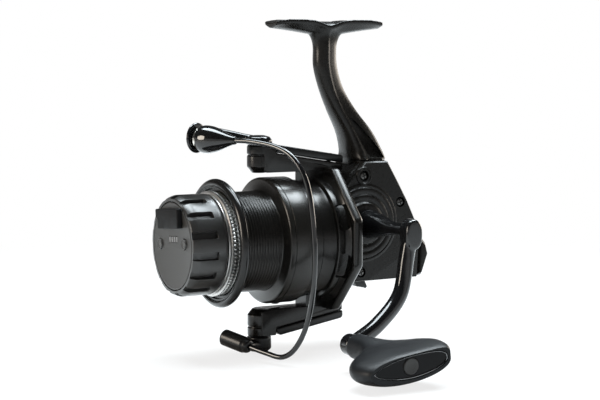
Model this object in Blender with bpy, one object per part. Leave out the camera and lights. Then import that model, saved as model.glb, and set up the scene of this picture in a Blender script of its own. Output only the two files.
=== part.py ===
"""A front-drag spinning reel with an electronic drag knob, as separate pieces.

Sizes are in millimetres and become metres when a mesh is made. The origin is the middle of
the foot's seat. +Z points to the rod, -Y to the front of the spool, +X to the handle side.
A height called rise is measured from the spool axis.
"""
from math import atan2, cos, exp, hypot, pi, radians, sin, sqrt

import bmesh
import bpy
from mathutils import Matrix, Vector

MM = 0.001
GAP = 0.3
WELD = 0.0005
SPIN_START = 0.38
SMOOTH_ANGLE = radians(35)

# Foot and stem
AXIS_DROP = 107.0
FOOT_FRONT = -30.5
FOOT_REAR = 31.0
FOOT_HALF_WIDTH = 7.0
FOOT_TIP_NARROWING = 1.5
FOOT_TIP_DEPTH = 2.2
FOOT_ROOT_DEPTH = 7.5
FOOT_EDGE_RISE = 0.9
FOOT_EDGE_DIP = 2.8
FOOT_EDGE = 1.4
SEAT_HALF_WIDTH = 1.6
STEM_NECK_HALF_WIDTH = 5.4
STEM_NECK_HALF_LENGTH = 6.2
STEM_SINK = 11.0
STEM_FLARE_HALF_WIDTH = 13.4
STEM_FLARE_HALF_LENGTH = 8.4
STEM_FLARE_Y = 20.8

# Gear case, its cover and tail
CASE_FRONT = 3.0
CASE_TAIL = 47.0
CASE_BOTTOM = -22.0
CASE_TOP = 38.0
CASE_LEFT = -15.0
CASE_SPLIT = 11.0
CASE_ROUNDING = 4.0
CASE_WALL = 2.8
ROOM_LEFT = -9.5
COVER_THICK = 4.0
TAIL_LENGTH = 8.0
NOSE_RADIUS = 24.5
NOSE_BORE = 16.6
NOSE_FRONT = -9.0
NOSE_WALL = 3.0

# Handle axis and drive
CRANK_Y = 13.4
CRANK_RISE = 7.5
DRIVE_SHAFT_RADIUS = 4.0
DRIVE_SHAFT_BORE = 2.3
DRIVE_BEARING_RADIUS = 8.0
DRIVE_BEARING_WIDTH = 4.0
BOSS_RADIUS = 17.5
BOSS_HEIGHT = 3.4

# Face gear and pinion teeth
PINION_TEETH = 8
GEAR_TEETH = 36
WORM_TEETH = 10
PINION_PITCH_RADIUS = 4.3
PINION_ADDENDUM = 0.9
PINION_DEDENDUM = 1.0
MESH_OFFSET_Y = 12.0
TOOTH_SHARE = 0.36
GEAR_RING = 2.4
GEAR_THICK = 3.0
PINION_TOOTH_FRONT = -5.0
PINION_TOOTH_REAR = 6.0
PINION_SLEEVE_RADIUS = 4.6
PINION_FRONT = -30.5
PINION_BEARING_RADIUS = 8.7
CLUTCH_RADIUS = 17.0
CLUTCH_SLEEVE_RADIUS = 9.2
CLUTCH_LENGTH = 8.0

# Rotor
DRUM_RADIUS = 29.2
DRUM_WALL = 2.5
ROTOR_FRONT = -25.5
ROTOR_FRONT_WALL = 3.0
ROTOR_FLARE_FRONT = -10.5
ROTOR_HOOP_RADIUS = 38.0
ROTOR_HOOP_FRONT = -2.5
ROTOR_HOOP_REAR = 1.3
ARM_HALF_WIDTH = 5.8
ARM_INNER_RISE = 33.5
ARM_OUTER_RISE = 43.0
ARM_REAR_RISE = 36.8
ARM_REAR = 7.5
ARM_WEB_FRONT = -13.5
ARM_BLOCK_RISE = 47.0
UPPER_ARM_FRONT = -42.0
LOWER_ARM_FRONT = -43.5
ARM_COVER_THICK = 3.9
ARM_COVER_FRONT = -30.0
ROTOR_NUT_RADIUS = 8.5
ROTOR_NUT_WIDTH = 3.6
ARM_SCREW_RADIUS = 1.1
ARM_SCREW_HEAD_RADIUS = 2.2
SPRING_POCKET_HALF_WIDTH = 4.5
SPRING_POCKET_REAR = -13.5
HOOP_CORNERS = [17.5, 68.0, 112.0, 162.5, 197.5, 248.0, 292.0, 342.5]
HOOP_BORE_SHARE = 0.85

# Bail
BAIL_PIVOT_Y = -37.0
BAIL_HUB_RADIUS = 6.8
BAIL_HUB_TOP = 53.6
PIVOT_PIN_RADIUS = 1.5
STRAP_HALF_WIDTH = 1.8
STRAP_HALF_HEIGHT = 2.8
ROLLER_X = -9.0
ROLLER_Y = -64.0
ROLLER_RISE = 50.0
ROLLER_DIRECTION = (0.916, 0.40)
ROLLER_RADIUS = 5.0
ROLLER_WIDTH = 4.8
ROLLER_PIN_RADIUS = 1.6
ROLLER_HEAD_RADIUS = 3.0
ROLLER_HEAD_SINK = 0.6
BAIL_DISC_RADIUS = 7.0
BAIL_DISC_WIDTH = 3.2
CONE_RADIUS = 6.8
CONE_LENGTH = 20.5
WIRE_RADIUS = 1.2
WIRE_REACH = 68.7
LEVER_HUB_RADIUS = 6.0
LEVER_HUB_BOTTOM = -54.5
LEVER_BARREL_RADIUS = 3.6
BRIDGE_HALF_WIDTH = 4.6
BRIDGE_HALF_HEIGHT = 2.4

# Spool and main shaft
SHAFT_RADIUS = 2.2
SHAFT_FRONT = -72.3
SHAFT_REAR = 36.0
ARBOR_FRONT = -57.0
ARBOR_LENGTH = 21.0
ARBOR_RADIUS = 24.5
ARBOR_WALL = 2.2
SPOOL_WEB = 4.0
FLANGE_RADIUS = 30.8
FLANGE_THICK = 2.0
SKIRT_RADIUS = 31.0
SKIRT_WALL = 1.2
SKIRT_LENGTH = 14.0
LIP_RADIUS = 31.2
LIP_WIDTH = 4.7
LIP_PLATE = 2.7
LIP_BORE = 16.5
CHAMBER_RADIUS = 15.3
CHAMBER_DEPTH = 10.0
WASHER_THICK = 2.0
SPOOL_BORE = 4.9
SEAT_RADIUS = 7.0
SEAT_WIDTH = 3.0

# Drag knob
KNURL_RADIUS = 25.5
KNURL_WIDTH = 4.1
BRIGHT_RING_RADIUS = 24.2
BRIGHT_RING_WIDTH = 0.9
KNOB_RADIUS = 24.3
KNOB_LENGTH = 17.7
KNOB_CHAMFER = 3.0
KNOB_WALL = 3.5
KNOB_REAR_WALL = 2.6
KNOB_SLOTS = 15
KNOB_SLOT_WIDTH = 3.0
KNOB_SLOT_DEPTH = 1.2
KNOB_ROLL = radians(5)
FACE_RADIUS = 22.0
FACE_THICK = 1.2
BUTTON_RADIUS = 2.5
BUTTON_REACH = 13.3
BUTTON_TRAVEL = 0.6
PORT_WIDTH = 24.5
PORT_HEIGHT = 9.5
PORT_DEPTH = 2.4
PORT_RISE = 13.2
CELL_RADIUS = 12.25
CELL_THICK = 5.0
BOARD_RADIUS = 19.5
BOARD_THICK = 1.4
NUT_RADIUS = 7.7
NUT_LENGTH = 6.6

# Handle
COLLAR_RADIUS = 6.5
COLLAR_TIP_RADIUS = 2.9
SHANK_END = 54.0
KNUCKLE_RADIUS = 6.0
KNUCKLE_WIDTH = 8.6
HANDLE_DROP = 49.7
HANDLE_FORWARD = 37.7
HANDLE_FLARE = 8.5
HANDLE_HALF_WIDTH = 3.9
GRIP_END = 116.5
GRIP_NECK_RADIUS = 5.8
GRIP_HALF_LENGTH = 23.5
GRIP_SAG = 2.2
GRIP_HALF_HEIGHT = 8.4
GRIP_TILT = radians(7)
AXLE_RADIUS = 2.2

# Oscillation
WORM_X = -3.0
WORM_GEAR_FRONT = -3.5
WORM_GEAR_WIDTH = 4.0
WORM_RADIUS = 2.6
CARRIAGE_FRONT = 27.0
CARRIAGE_LENGTH = 7.0
GUIDE_X = -5.8
GUIDE_RISE = -1.5
GUIDE_RADIUS = 1.5

# Anti-reverse lever
AR_LEVER_Y = 19.0
AR_PIN_RADIUS = 2.2

# Places that follow from the sizes
UP = Vector((0, 0, 1))
FORE = Vector((0, 1, 0))
ACROSS = Vector((1, 0, 0))
AXIS_POINT = Vector((0, 0, -AXIS_DROP))
CRANK_POINT = Vector((0, CRANK_Y, CRANK_RISE - AXIS_DROP))
PIVOT_POINT = Vector((0, BAIL_PIVOT_Y, -AXIS_DROP))
ROLLER_AXIS = Vector((ROLLER_DIRECTION[0], ROLLER_DIRECTION[1], 0)).normalized()
ROLLER_POINT = Vector((ROLLER_X, ROLLER_Y, ROLLER_RISE - AXIS_DROP))
GRIP_POINT = Vector((SHANK_END, CRANK_Y - HANDLE_FORWARD, CRANK_RISE - HANDLE_DROP - AXIS_DROP))
SPOOL_LINE = (AXIS_POINT, FORE)
CRANK_LINE = (CRANK_POINT, ACROSS)
PIVOT_LINE = (PIVOT_POINT, UP)
ROLLER_LINE = (ROLLER_POINT, ROLLER_AXIS)
GRIP_LINE = (Vector((0, GRIP_POINT.y, GRIP_POINT.z)), ACROSS)

FLANGE_FRONT = ARBOR_FRONT + ARBOR_LENGTH
FLANGE_REAR = FLANGE_FRONT + FLANGE_THICK
CHAMBER_FLOOR = ARBOR_FRONT + CHAMBER_DEPTH
WEB_REAR = CHAMBER_FLOOR + SPOOL_WEB
PIVOT_DEEP = ARM_INNER_RISE + 3
PIVOT_OUT = ARM_BLOCK_RISE + 2
LIP_REAR = ARBOR_FRONT - GAP
LIP_FRONT = LIP_REAR - LIP_WIDTH
LIP_FLOOR = LIP_REAR - LIP_PLATE
KNURL_REAR = LIP_FLOOR - GAP
KNURL_FRONT = KNURL_REAR - KNURL_WIDTH
BRIGHT_REAR = KNURL_FRONT - GAP
KNOB_REAR = BRIGHT_REAR - BRIGHT_RING_WIDTH - GAP
KNOB_FRONT = KNOB_REAR - KNOB_LENGTH
FACE_REAR = KNOB_FRONT + FACE_THICK
BOARD_REAR = FACE_REAR + GAP + BOARD_THICK
SLEEVE_BORE = PINION_SLEEVE_RADIUS + GAP
COVER_OUTER = CASE_SPLIT + GAP + COVER_THICK
BOSS_OUTER = COVER_OUTER + BOSS_HEIGHT
GEAR_RATIO = GEAR_TEETH / PINION_TEETH
HELIX_SLOPE = (GEAR_RATIO * PINION_PITCH_RADIUS - MESH_OFFSET_Y) / CRANK_RISE
HELIX_COS = 1 / sqrt(1 + HELIX_SLOPE ** 2)
GEAR_BASE_RADIUS = GEAR_RATIO * PINION_PITCH_RADIUS * HELIX_COS
GEAR_RADIUS = GEAR_BASE_RADIUS + GEAR_RING
PINION_OUTER = PINION_PITCH_RADIUS + PINION_ADDENDUM
PINION_ROOT = PINION_PITCH_RADIUS - PINION_DEDENDUM
GEAR_FACE_X = PINION_OUTER + 0.4
GEAR_TIP_X = PINION_ROOT + 0.4
WORM_PITCH_RADIUS = PINION_PITCH_RADIUS * WORM_TEETH / PINION_TEETH
WORM_RISE = -sqrt((PINION_PITCH_RADIUS + WORM_PITCH_RADIUS) ** 2 - WORM_X ** 2)
WORM_LINE = (Vector((WORM_X, 0, WORM_RISE - AXIS_DROP)), FORE)
TWIST = -HELIX_SLOPE / PINION_PITCH_RADIUS
PINION_PHASE = TWIST * (MESH_OFFSET_Y - CRANK_Y)
WORM_TWIST = -TWIST * PINION_TEETH / WORM_TEETH
WORM_ANGLE = atan2(-WORM_RISE, WORM_X)
WORM_MIDDLE = WORM_GEAR_FRONT + WORM_GEAR_WIDTH / 2
TOOTH_AT_WORM = PINION_PHASE + TWIST * WORM_MIDDLE - WORM_ANGLE
WORM_LEAD = TOOTH_AT_WORM * PINION_TEETH / WORM_TEETH + WORM_TWIST * WORM_MIDDLE
WORM_PHASE = WORM_ANGLE + pi + pi / WORM_TEETH - WORM_LEAD


def clear_scene():
    """Removes what the file held before."""
    for obj in list(bpy.data.objects):
        bpy.data.objects.remove(obj, do_unlink=True)


def look(name, colour, roughness, metallic=0.0):
    """Makes a plain Principled material."""
    made = bpy.data.materials.new(name)
    made.use_nodes = True
    shader = made.node_tree.nodes["Principled BSDF"]
    shader.inputs["Base Color"].default_value = (*colour, 1)
    shader.inputs["Roughness"].default_value = roughness
    shader.inputs["Metallic"].default_value = metallic
    return made


def joint_empty(name, point, parent=None):
    """Makes an empty on a joint's axis, which carries the pieces that turn or slide there."""
    empty = bpy.data.objects.new(name, None)
    empty.empty_display_size = 5 * MM
    bpy.context.collection.objects.link(empty)
    empty.matrix_world = Matrix.Translation(point * MM)
    bpy.context.view_layer.update()
    if parent:
        carry(empty, parent)
    return empty


def carry(obj, parent):
    """Parents an object and keeps its place."""
    obj.parent = parent
    obj.matrix_parent_inverse = parent.matrix_world.inverted()
    bpy.context.view_layer.update()


def piece(bm, name, finish, parent=None):
    """Turns a mesh in millimetres into a closed object in metres."""
    bmesh.ops.remove_doubles(bm, verts=bm.verts, dist=WELD)
    bmesh.ops.recalc_face_normals(bm, faces=bm.faces)
    if bm.calc_volume(signed=True) < 0:
        bmesh.ops.reverse_faces(bm, faces=bm.faces)
    bmesh.ops.scale(bm, verts=bm.verts, vec=(MM, MM, MM))
    mesh = bpy.data.meshes.new(name)
    bm.to_mesh(mesh)
    bm.free()
    mesh.shade_smooth()
    mesh.set_sharp_from_angle(angle=SMOOTH_ANGLE)
    obj = bpy.data.objects.new(name, mesh)
    bpy.context.collection.objects.link(obj)
    if finish:
        mesh.materials.append(finish)
    if parent:
        carry(obj, parent)
    return obj


def frame_of(line):
    """Gives the matrix that lays local +Z along a line, from its point."""
    point, direction = line
    if direction == FORE:
        turn = Matrix.Rotation(-pi / 2, 4, "X")
    elif direction == ACROSS:
        turn = Matrix.Rotation(pi / 2, 4, "Y")
    else:
        turn = direction.to_track_quat("Z", "Y").to_matrix().to_4x4()
    return Matrix.Translation(point) @ turn


def turned(name, profile, line, finish, parent=None, steps=24):
    """Spins a profile of (radius, distance along the line) points round the line."""
    bm = bmesh.new()
    first = SPIN_START * 2 * pi / steps
    points = [bm.verts.new((radius * cos(first), radius * sin(first), along)) for radius, along in profile]
    edges = [bm.edges.new(pair) for pair in zip(points, points[1:])]
    if profile[0][0] > 0 or profile[-1][0] > 0:
        edges.append(bm.edges.new((points[-1], points[0])))
    bmesh.ops.spin(
        bm, geom=points + edges, cent=(0, 0, 0), axis=(0, 0, 1), angle=2 * pi, steps=steps, use_merge=True
    )
    bmesh.ops.remove_doubles(bm, verts=bm.verts, dist=WELD)
    bmesh.ops.transform(bm, matrix=frame_of(line), verts=bm.verts)
    return piece(bm, name, finish, parent)


def collar(name, inner, outer, start, end, line, finish, parent=None, steps=16):
    """A plain ring with a rectangular section."""
    profile = [(inner, start), (outer, start), (outer, end), (inner, end)]
    return turned(name, profile, line, finish, parent, steps)


def rod(name, radius, start, end, line, finish, parent=None, steps=12):
    """A plain round bar."""
    profile = [(0, start), (radius, start), (radius, end), (0, end)]
    return turned(name, profile, line, finish, parent, steps)


def lofted(name, rings, finish, parent=None):
    """Joins rings of equal point counts with faces and caps both ends."""
    bm = bmesh.new()
    loops = [[bm.verts.new(point) for point in ring] for ring in rings]
    for near, far in zip(loops, loops[1:]):
        for index in range(len(near)):
            after = (index + 1) % len(near)
            bm.faces.new((near[index], near[after], far[after], far[index]))
    bm.faces.new(loops[0])
    bm.faces.new(loops[-1])
    bm.normal_update()
    bmesh.ops.triangulate(bm, faces=[face for face in bm.faces if len(face.verts) > 4])
    return piece(bm, name, finish, parent)


def banded(name, rings, finish, parent=None):
    """Joins rings into a closed band round a hole."""
    bm = bmesh.new()
    loops = [[bm.verts.new(point) for point in ring] for ring in rings]
    for near, far in zip(loops, loops[1:] + loops[:1]):
        for index, corner in enumerate(near):
            after = (index + 1) % len(near)
            bm.faces.new((corner, near[after], far[after], far[index]))
    return piece(bm, name, finish, parent)


def side_ring(outline, x):
    """Lays (y, rise) points in a plane across X."""
    return [Vector((x, y, rise - AXIS_DROP)) for y, rise in outline]


def slab_across(name, outline, low, high, finish, parent=None):
    """Extrudes a (y, rise) outline along X."""
    return lofted(name, [side_ring(outline, low), side_ring(outline, high)], finish, parent)


def block(name, low, high, finish=None, parent=None):
    """A box between two corners."""
    corners = [(low[0], low[1]), (high[0], low[1]), (high[0], high[1]), (low[0], high[1])]
    rings = [[Vector((x, y, z)) for x, y in corners] for z in (low[2], high[2])]
    return lofted(name, rings, finish, parent)


def inset(outline, distance):
    """Moves each side of a counter-clockwise outline inwards."""
    moved = []
    count = len(outline)
    for index in range(count):
        before = Vector(outline[index - 1])
        here = Vector(outline[index])
        after = Vector(outline[(index + 1) % count])
        first = (here - before).normalized()
        second = (after - here).normalized()
        normal_a = Vector((-first.y, first.x))
        normal_b = Vector((-second.y, second.x))
        shift = (normal_a + normal_b) / (1 + normal_a.dot(normal_b))
        moved.append(tuple(here + shift * distance))
    return moved


def oval(half_a, half_b, count, power=2.0):
    """Points of a superellipse."""
    points = []
    for index in range(count):
        angle = 2 * pi * index / count
        a = abs(cos(angle)) ** (2 / power) * (1 if cos(angle) >= 0 else -1)
        b = abs(sin(angle)) ** (2 / power) * (1 if sin(angle) >= 0 else -1)
        points.append((half_a * a, half_b * b))
    return points


def smooth_path(points, parts):
    """Samples a Catmull-Rom curve through the points."""
    padded = [2 * points[0] - points[1], *points, 2 * points[-1] - points[-2]]
    samples = []
    for index in range(1, len(padded) - 2):
        before, start, end, after = padded[index - 1:index + 3]
        for part in range(parts):
            t = part / parts
            blend = 2 * start + (end - before) * t
            blend += (2 * before - 5 * start + 4 * end - after) * t ** 2
            blend += (3 * start - before - 3 * end + after) * t ** 3
            samples.append(blend / 2)
    samples.append(points[-1])
    return samples


def swept(name, path, section, side, finish, parent=None):
    """Carries a closed section along a path, with a steady side direction."""
    rings = []
    for index, point in enumerate(path):
        ahead = path[min(index + 1, len(path) - 1)] - path[max(index - 1, 0)]
        across = side - ahead * side.dot(ahead) / ahead.length_squared
        across.normalize()
        upright = ahead.normalized().cross(across)
        rings.append([point + across * a + upright * b for a, b in section])
    return lofted(name, rings, finish, parent)


def wire_tube(name, path, radius, finish, parent=None):
    """A round tube along a path, with filled ends."""
    curve = bpy.data.curves.new(name, "CURVE")
    curve.dimensions = "3D"
    curve.bevel_depth = radius * MM
    curve.bevel_resolution = 2
    curve.use_fill_caps = True
    spline = curve.splines.new("POLY")
    spline.points.add(len(path) - 1)
    for place, point in zip(spline.points, path):
        place.co = (*(point * MM), 1)
    curve.materials.append(finish)
    obj = bpy.data.objects.new(name, curve)
    bpy.context.collection.objects.link(obj)
    if parent:
        carry(obj, parent)
    return obj


def combine(target, tools, operation):
    """Adds Boolean modifiers and hides their tools."""
    for tool in tools:
        modifier = target.modifiers.new(operation.lower() + "_" + tool.name, "BOOLEAN")
        modifier.operation = operation
        modifier.object = tool
        modifier.solver = "EXACT"
        tool.hide_render = True
        tool.display_type = "WIRE"
        if target.parent and tool.parent is None:
            carry(tool, target.parent)
    return target


def fuse(target, *tools):
    """Joins solids that overlap."""
    return combine(target, tools, "UNION")


def cut(target, *tools):
    """Cuts solids out of the target."""
    return combine(target, tools, "DIFFERENCE")


def at_crank(y_offset, rise_offset, x):
    """A point given from the handle axis."""
    return Vector((x, CRANK_Y + y_offset, CRANK_RISE + rise_offset - AXIS_DROP))


clear_scene()
CASTING = look("matte_casting", (0.035, 0.033, 0.031), 0.55)
GLOSS = look("gloss_black", (0.012, 0.012, 0.013), 0.12)
SATIN = look("satin_black", (0.02, 0.02, 0.021), 0.35)
ANODISED = look("black_anodised", (0.03, 0.028, 0.025), 0.28, 0.8)
RUBBER = look("soft_grip", (0.05, 0.055, 0.065), 0.7)
PANEL = look("grey_panel", (0.12, 0.12, 0.12), 0.5)
BRIGHT = look("bright_steel", (0.75, 0.75, 0.74), 0.2, 1.0)
BRASS = look("gear_bronze", (0.55, 0.40, 0.18), 0.35, 1.0)
FELT = look("felt", (0.45, 0.42, 0.36), 0.95)
BOARD = look("circuit_board", (0.02, 0.18, 0.06), 0.5)

rotor_axis = joint_empty("rotor_axis", AXIS_POINT)
shaft_slide = joint_empty("shaft_slide", AXIS_POINT)
spool_axis = joint_empty("spool_axis", AXIS_POINT, shaft_slide)
knob_axis = joint_empty("knob_axis", AXIS_POINT, shaft_slide)
bail_axis = joint_empty("bail_axis", PIVOT_POINT, rotor_axis)
roller_axis = joint_empty("roller_axis", ROLLER_POINT, bail_axis)
crank_axis = joint_empty("crank_axis", CRANK_POINT)
grip_axis = joint_empty("grip_axis", GRIP_POINT, crank_axis)
worm_axis = joint_empty("worm_axis", WORM_LINE[0])
lever_axis = joint_empty("lever_axis", Vector((0, AR_LEVER_Y, CASE_BOTTOM - AXIS_DROP)))

CASE_OUTLINE = [
    (CASE_FRONT, CASE_BOTTOM + 4),
    (CASE_FRONT + 4, CASE_BOTTOM),
    (CASE_TAIL, CASE_BOTTOM),
    (CASE_TAIL, 3.0),
    (40.0, 17.5),
    (34.0, 28.0),
    (28.0, CASE_TOP),
    (15.0, CASE_TOP),
    (9.2, 32.0),
    (CASE_FRONT, 25.0),
]
COVER_SCREWS = [("upper", 14.0, 30.9), ("lower", 12.5, -17.2), ("rear", 35.5, 17.0)]
SCREW_HEAD_RADIUS = 2.3
STEM_STATIONS = [4.5, 8.5, 13.0, 22.0, 33.0, 44.0, 55.0, 64.0, 72.0, 80.0]
SCREW_SHANK_RADIUS = 1.2


def make_foot():
    """The seat: thin tips, a deeper root, and a shallow channel with a flat strip along its floor."""
    rings = []
    stations = [FOOT_FRONT, -27.0, -18.0, -10.0, -5.0, 0.0, 5.0, 10.0, 18.0, 27.0, FOOT_REAR]
    for y in stations:
        share = abs(y) / max(FOOT_REAR, -FOOT_FRONT)
        width = FOOT_HALF_WIDTH - FOOT_TIP_NARROWING * share ** 3
        edge = FOOT_EDGE_RISE - FOOT_EDGE_DIP * exp(-((y / STEM_NECK_HALF_LENGTH) ** 2))
        depth = FOOT_TIP_DEPTH + (FOOT_ROOT_DEPTH - FOOT_TIP_DEPTH) * (1 - share) ** 1.3
        half = [(SEAT_HALF_WIDTH, 0), (width, edge), (width, edge - FOOT_EDGE), (0.6 * width, -0.9 * depth)]
        mirrored = [(-x, z) for x, z in reversed(half)]
        rings.append([Vector((x, y, z)) for x, z in half + mirrored])
    return lofted("foot_form", rings, None)


def make_stem():
    """The leg from the foot back to the gear case, as a run of rounded sections."""
    neck_x = STEM_NECK_HALF_WIDTH
    neck_y = STEM_NECK_HALF_LENGTH
    top = -STEM_STATIONS[0]
    bottom = CASE_TOP - STEM_SINK - AXIS_DROP
    reach = (top - bottom) / (STEM_STATIONS[-1] - STEM_STATIONS[0])
    sections = [
        (0.3, neck_y + 2.2, neck_x - 0.6),
        (0.3, neck_y + 0.8, neck_x - 0.4),
        (0.3, neck_y, neck_x - 0.2),
        (0.6, neck_y + 0.1, neck_x),
        (3.4, neck_y - 0.3, neck_x + 0.1),
        (8.7, neck_y, neck_x + 0.6),
        (15.3, neck_y + 0.6, neck_x + 2.4),
        (19.8, neck_y + 1.9, neck_x + 5.0),
        (22.2, neck_y + 3.0, neck_x + 4.6),
        (22.0, neck_y + 2.6, neck_x + 4.0),
    ]
    levels = [top - (station - STEM_STATIONS[0]) * reach for station in STEM_STATIONS]
    ledge = CASE_TOP + GAP - AXIS_DROP
    flare = (STEM_FLARE_Y, STEM_FLARE_HALF_LENGTH, STEM_FLARE_HALF_WIDTH)
    run = list(zip(levels[:-2], sections[:-2]))
    run += [(ledge + 0.5, flare), (ledge, flare), (ledge, sections[-2])]
    run += list(zip(levels[-2:], sections[-2:]))
    rings = []
    for z, (middle, length, width) in run:
        rings.append([Vector((x, middle + y, z)) for x, y in oval(width, length, 16, 2.6)])
    return lofted("stem_form", rings, None)


def make_body():
    """Foot, stem and gear case as one casting, with the gear room open to the handle side."""
    rounded = [
        side_ring(inset(CASE_OUTLINE, CASE_ROUNDING), CASE_LEFT),
        side_ring(inset(CASE_OUTLINE, CASE_ROUNDING * 0.3), CASE_LEFT + CASE_ROUNDING * 0.4),
        side_ring(CASE_OUTLINE, CASE_LEFT + CASE_ROUNDING),
        side_ring(CASE_OUTLINE, CASE_SPLIT),
    ]
    body = lofted("body_housing", rounded, CASTING)
    nose = rod("nose_form", NOSE_RADIUS, NOSE_FRONT, CASE_FRONT + 0.7, SPOOL_LINE, None, steps=28)
    fuse(body, nose, make_stem(), make_foot())
    room = slab_across("room_cut", inset(CASE_OUTLINE, CASE_WALL), ROOM_LEFT, CASE_SPLIT + 2, None)
    bore_depth = NOSE_FRONT + NOSE_WALL
    nose_bore = rod("nose_bore", NOSE_BORE, bore_depth, CASE_FRONT - 0.8, SPOOL_LINE, None, steps=24)
    passage_low = (ROOM_LEFT + 1, CASE_FRONT - 1, WORM_RISE - WORM_RADIUS - 1 - AXIS_DROP)
    passage_high = (GEAR_TIP_X, CASE_FRONT + CASE_WALL + 1, NOSE_BORE - 3 - AXIS_DROP)
    passage = block("shaft_passage", passage_low, passage_high)
    gear_span = (GEAR_TIP_X - 1, CASE_SPLIT + 3)
    gear_room = rod("gear_room", GEAR_RADIUS + 0.9, *gear_span, CRANK_LINE, None, steps=28)
    seat_span = (NOSE_FRONT - 1, bore_depth + 1)
    seat = rod("pinion_seat", PINION_BEARING_RADIUS + GAP, *seat_span, SPOOL_LINE, None, steps=16)
    drive_seat = rod(
        "drive_seat", DRIVE_BEARING_RADIUS + GAP, CASE_LEFT - 1, ROOM_LEFT + 1, CRANK_LINE, None, steps=28
    )
    lever_hole_line = (Vector((0, AR_LEVER_Y, -AXIS_DROP)), UP)
    hole_span = (CASE_BOTTOM - 1, CASE_BOTTOM + CASE_WALL + 1)
    lever_hole = rod("lever_hole", AR_PIN_RADIUS + GAP, *hole_span, lever_hole_line, None, steps=16)
    relief_low = (CASE_SPLIT + 0.1, CASE_FRONT - GAP, -NOSE_RADIUS - 1 - AXIS_DROP)
    relief_high = (NOSE_RADIUS + 1, CASE_FRONT + 6, NOSE_RADIUS + 1 - AXIS_DROP)
    relief = block("cover_relief", relief_low, relief_high)
    cut(body, relief, room, nose_bore, passage, gear_room, seat, drive_seat, lever_hole)
    for name, y, rise in COVER_SCREWS:
        line = (Vector((0, y, rise - AXIS_DROP)), ACROSS)
        post_span = (ROOM_LEFT - 1, CASE_SPLIT - 0.5)
        pilot_span = (CASE_SPLIT - 8, CASE_SPLIT + 1)
        post = rod("post_" + name, SCREW_SHANK_RADIUS + 2, *post_span, line, None, steps=12)
        pilot = rod("pilot_" + name, SCREW_SHANK_RADIUS + GAP, *pilot_span, line, None, steps=10)
        fuse(body, post)
        cut(body, pilot)
    rear_span = (CASE_TAIL - CASE_WALL - 1, CASE_TAIL - 1)
    rear_bush = rod("worm_rear_seat", WORM_RADIUS + GAP, *rear_span, WORM_LINE, None, steps=12)
    guide_line = (Vector((GUIDE_X, 0, GUIDE_RISE - AXIS_DROP)), FORE)
    guide_rear = rod("guide_rear_seat", GUIDE_RADIUS + GAP, *rear_span, guide_line, None, steps=10)
    cut(body, rear_bush, guide_rear)
    return body


def make_cover():
    """The side cover with its stepped boss round the handle, and its screws."""
    outer = CASE_SPLIT + GAP
    rings = [
        side_ring(CASE_OUTLINE, outer),
        side_ring(inset(CASE_OUTLINE, 0.5), outer + COVER_THICK * 0.55),
        side_ring(inset(CASE_OUTLINE, 2.4), COVER_OUTER),
    ]
    cover = lofted("side_cover", rings, CASTING)
    step = BOSS_HEIGHT / 3
    boss_profile = [
        (0, COVER_OUTER - 1),
        (BOSS_RADIUS, COVER_OUTER - 1),
        (BOSS_RADIUS - 0.6, COVER_OUTER + step),
        (BOSS_RADIUS - 2.9, COVER_OUTER + step),
        (BOSS_RADIUS - 3.2, COVER_OUTER + 2 * step),
        (COLLAR_RADIUS + 3, COVER_OUTER + 2 * step),
        (COLLAR_RADIUS + 2, BOSS_OUTER),
        (0, BOSS_OUTER),
    ]
    fuse(cover, turned("boss_form", boss_profile, CRANK_LINE, None, steps=28))
    trim_low = (CASE_SPLIT, CASE_FRONT - 2 * BOSS_RADIUS, CASE_BOTTOM - AXIS_DROP)
    trim_high = (BOSS_OUTER + 1, CASE_FRONT + 0.6, CASE_TOP - AXIS_DROP)
    seat_floor = CASE_SPLIT + 2 * GAP + DRIVE_BEARING_WIDTH
    bore_profile = [
        (0, CASE_SPLIT),
        (DRIVE_BEARING_RADIUS + GAP, CASE_SPLIT),
        (DRIVE_BEARING_RADIUS + GAP, seat_floor),
        (DRIVE_SHAFT_RADIUS + GAP, seat_floor),
        (DRIVE_SHAFT_RADIUS + GAP, BOSS_OUTER + 1),
        (0, BOSS_OUTER + 1),
    ]
    bore = turned("cover_bore", bore_profile, CRANK_LINE, None, steps=18)
    cut(cover, block("front_trim", trim_low, trim_high), bore)
    for name, y, rise in COVER_SCREWS:
        line = (Vector((0, y, rise - AXIS_DROP)), ACROSS)
        head_floor = COVER_OUTER - 2
        hole_profile = [
            (0, CASE_SPLIT),
            (SCREW_SHANK_RADIUS + GAP, CASE_SPLIT),
            (SCREW_SHANK_RADIUS + GAP, head_floor),
            (SCREW_HEAD_RADIUS + GAP, head_floor),
            (SCREW_HEAD_RADIUS + GAP, BOSS_OUTER + 1),
            (0, BOSS_OUTER + 1),
        ]
        cut(cover, turned("screw_hole_" + name, hole_profile, line, None, steps=12))
        profile = [
            (0, CASE_SPLIT - 6),
            (SCREW_SHANK_RADIUS, CASE_SPLIT - 6),
            (SCREW_SHANK_RADIUS, head_floor + GAP),
            (SCREW_HEAD_RADIUS, head_floor + GAP),
            (SCREW_HEAD_RADIUS - 0.3, COVER_OUTER - 0.2),
            (0, COVER_OUTER - 0.2),
        ]
        turned("cover_screw_" + name, profile, line, BRIGHT, steps=12)
    return cover


def make_tail():
    """The tail cap, a wedge behind the case."""
    start = CASE_TAIL + GAP
    end = start + TAIL_LENGTH
    outline = [
        (start, CASE_BOTTOM),
        (start + TAIL_LENGTH * 0.5, CASE_BOTTOM + 0.5),
        (end, CASE_BOTTOM + 11.5),
        (end - 1.5, CASE_BOTTOM + 17),
        (start, CASE_BOTTOM + 24.5),
    ]
    rings = [
        side_ring(inset(outline, 2.2), CASE_LEFT + 1.5),
        side_ring(outline, CASE_LEFT + 5),
        side_ring(outline, CASE_SPLIT - 1),
        side_ring(inset(outline, 2.2), CASE_SPLIT + 2.8),
    ]
    lofted("tail_cap", rings, CASTING)


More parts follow.
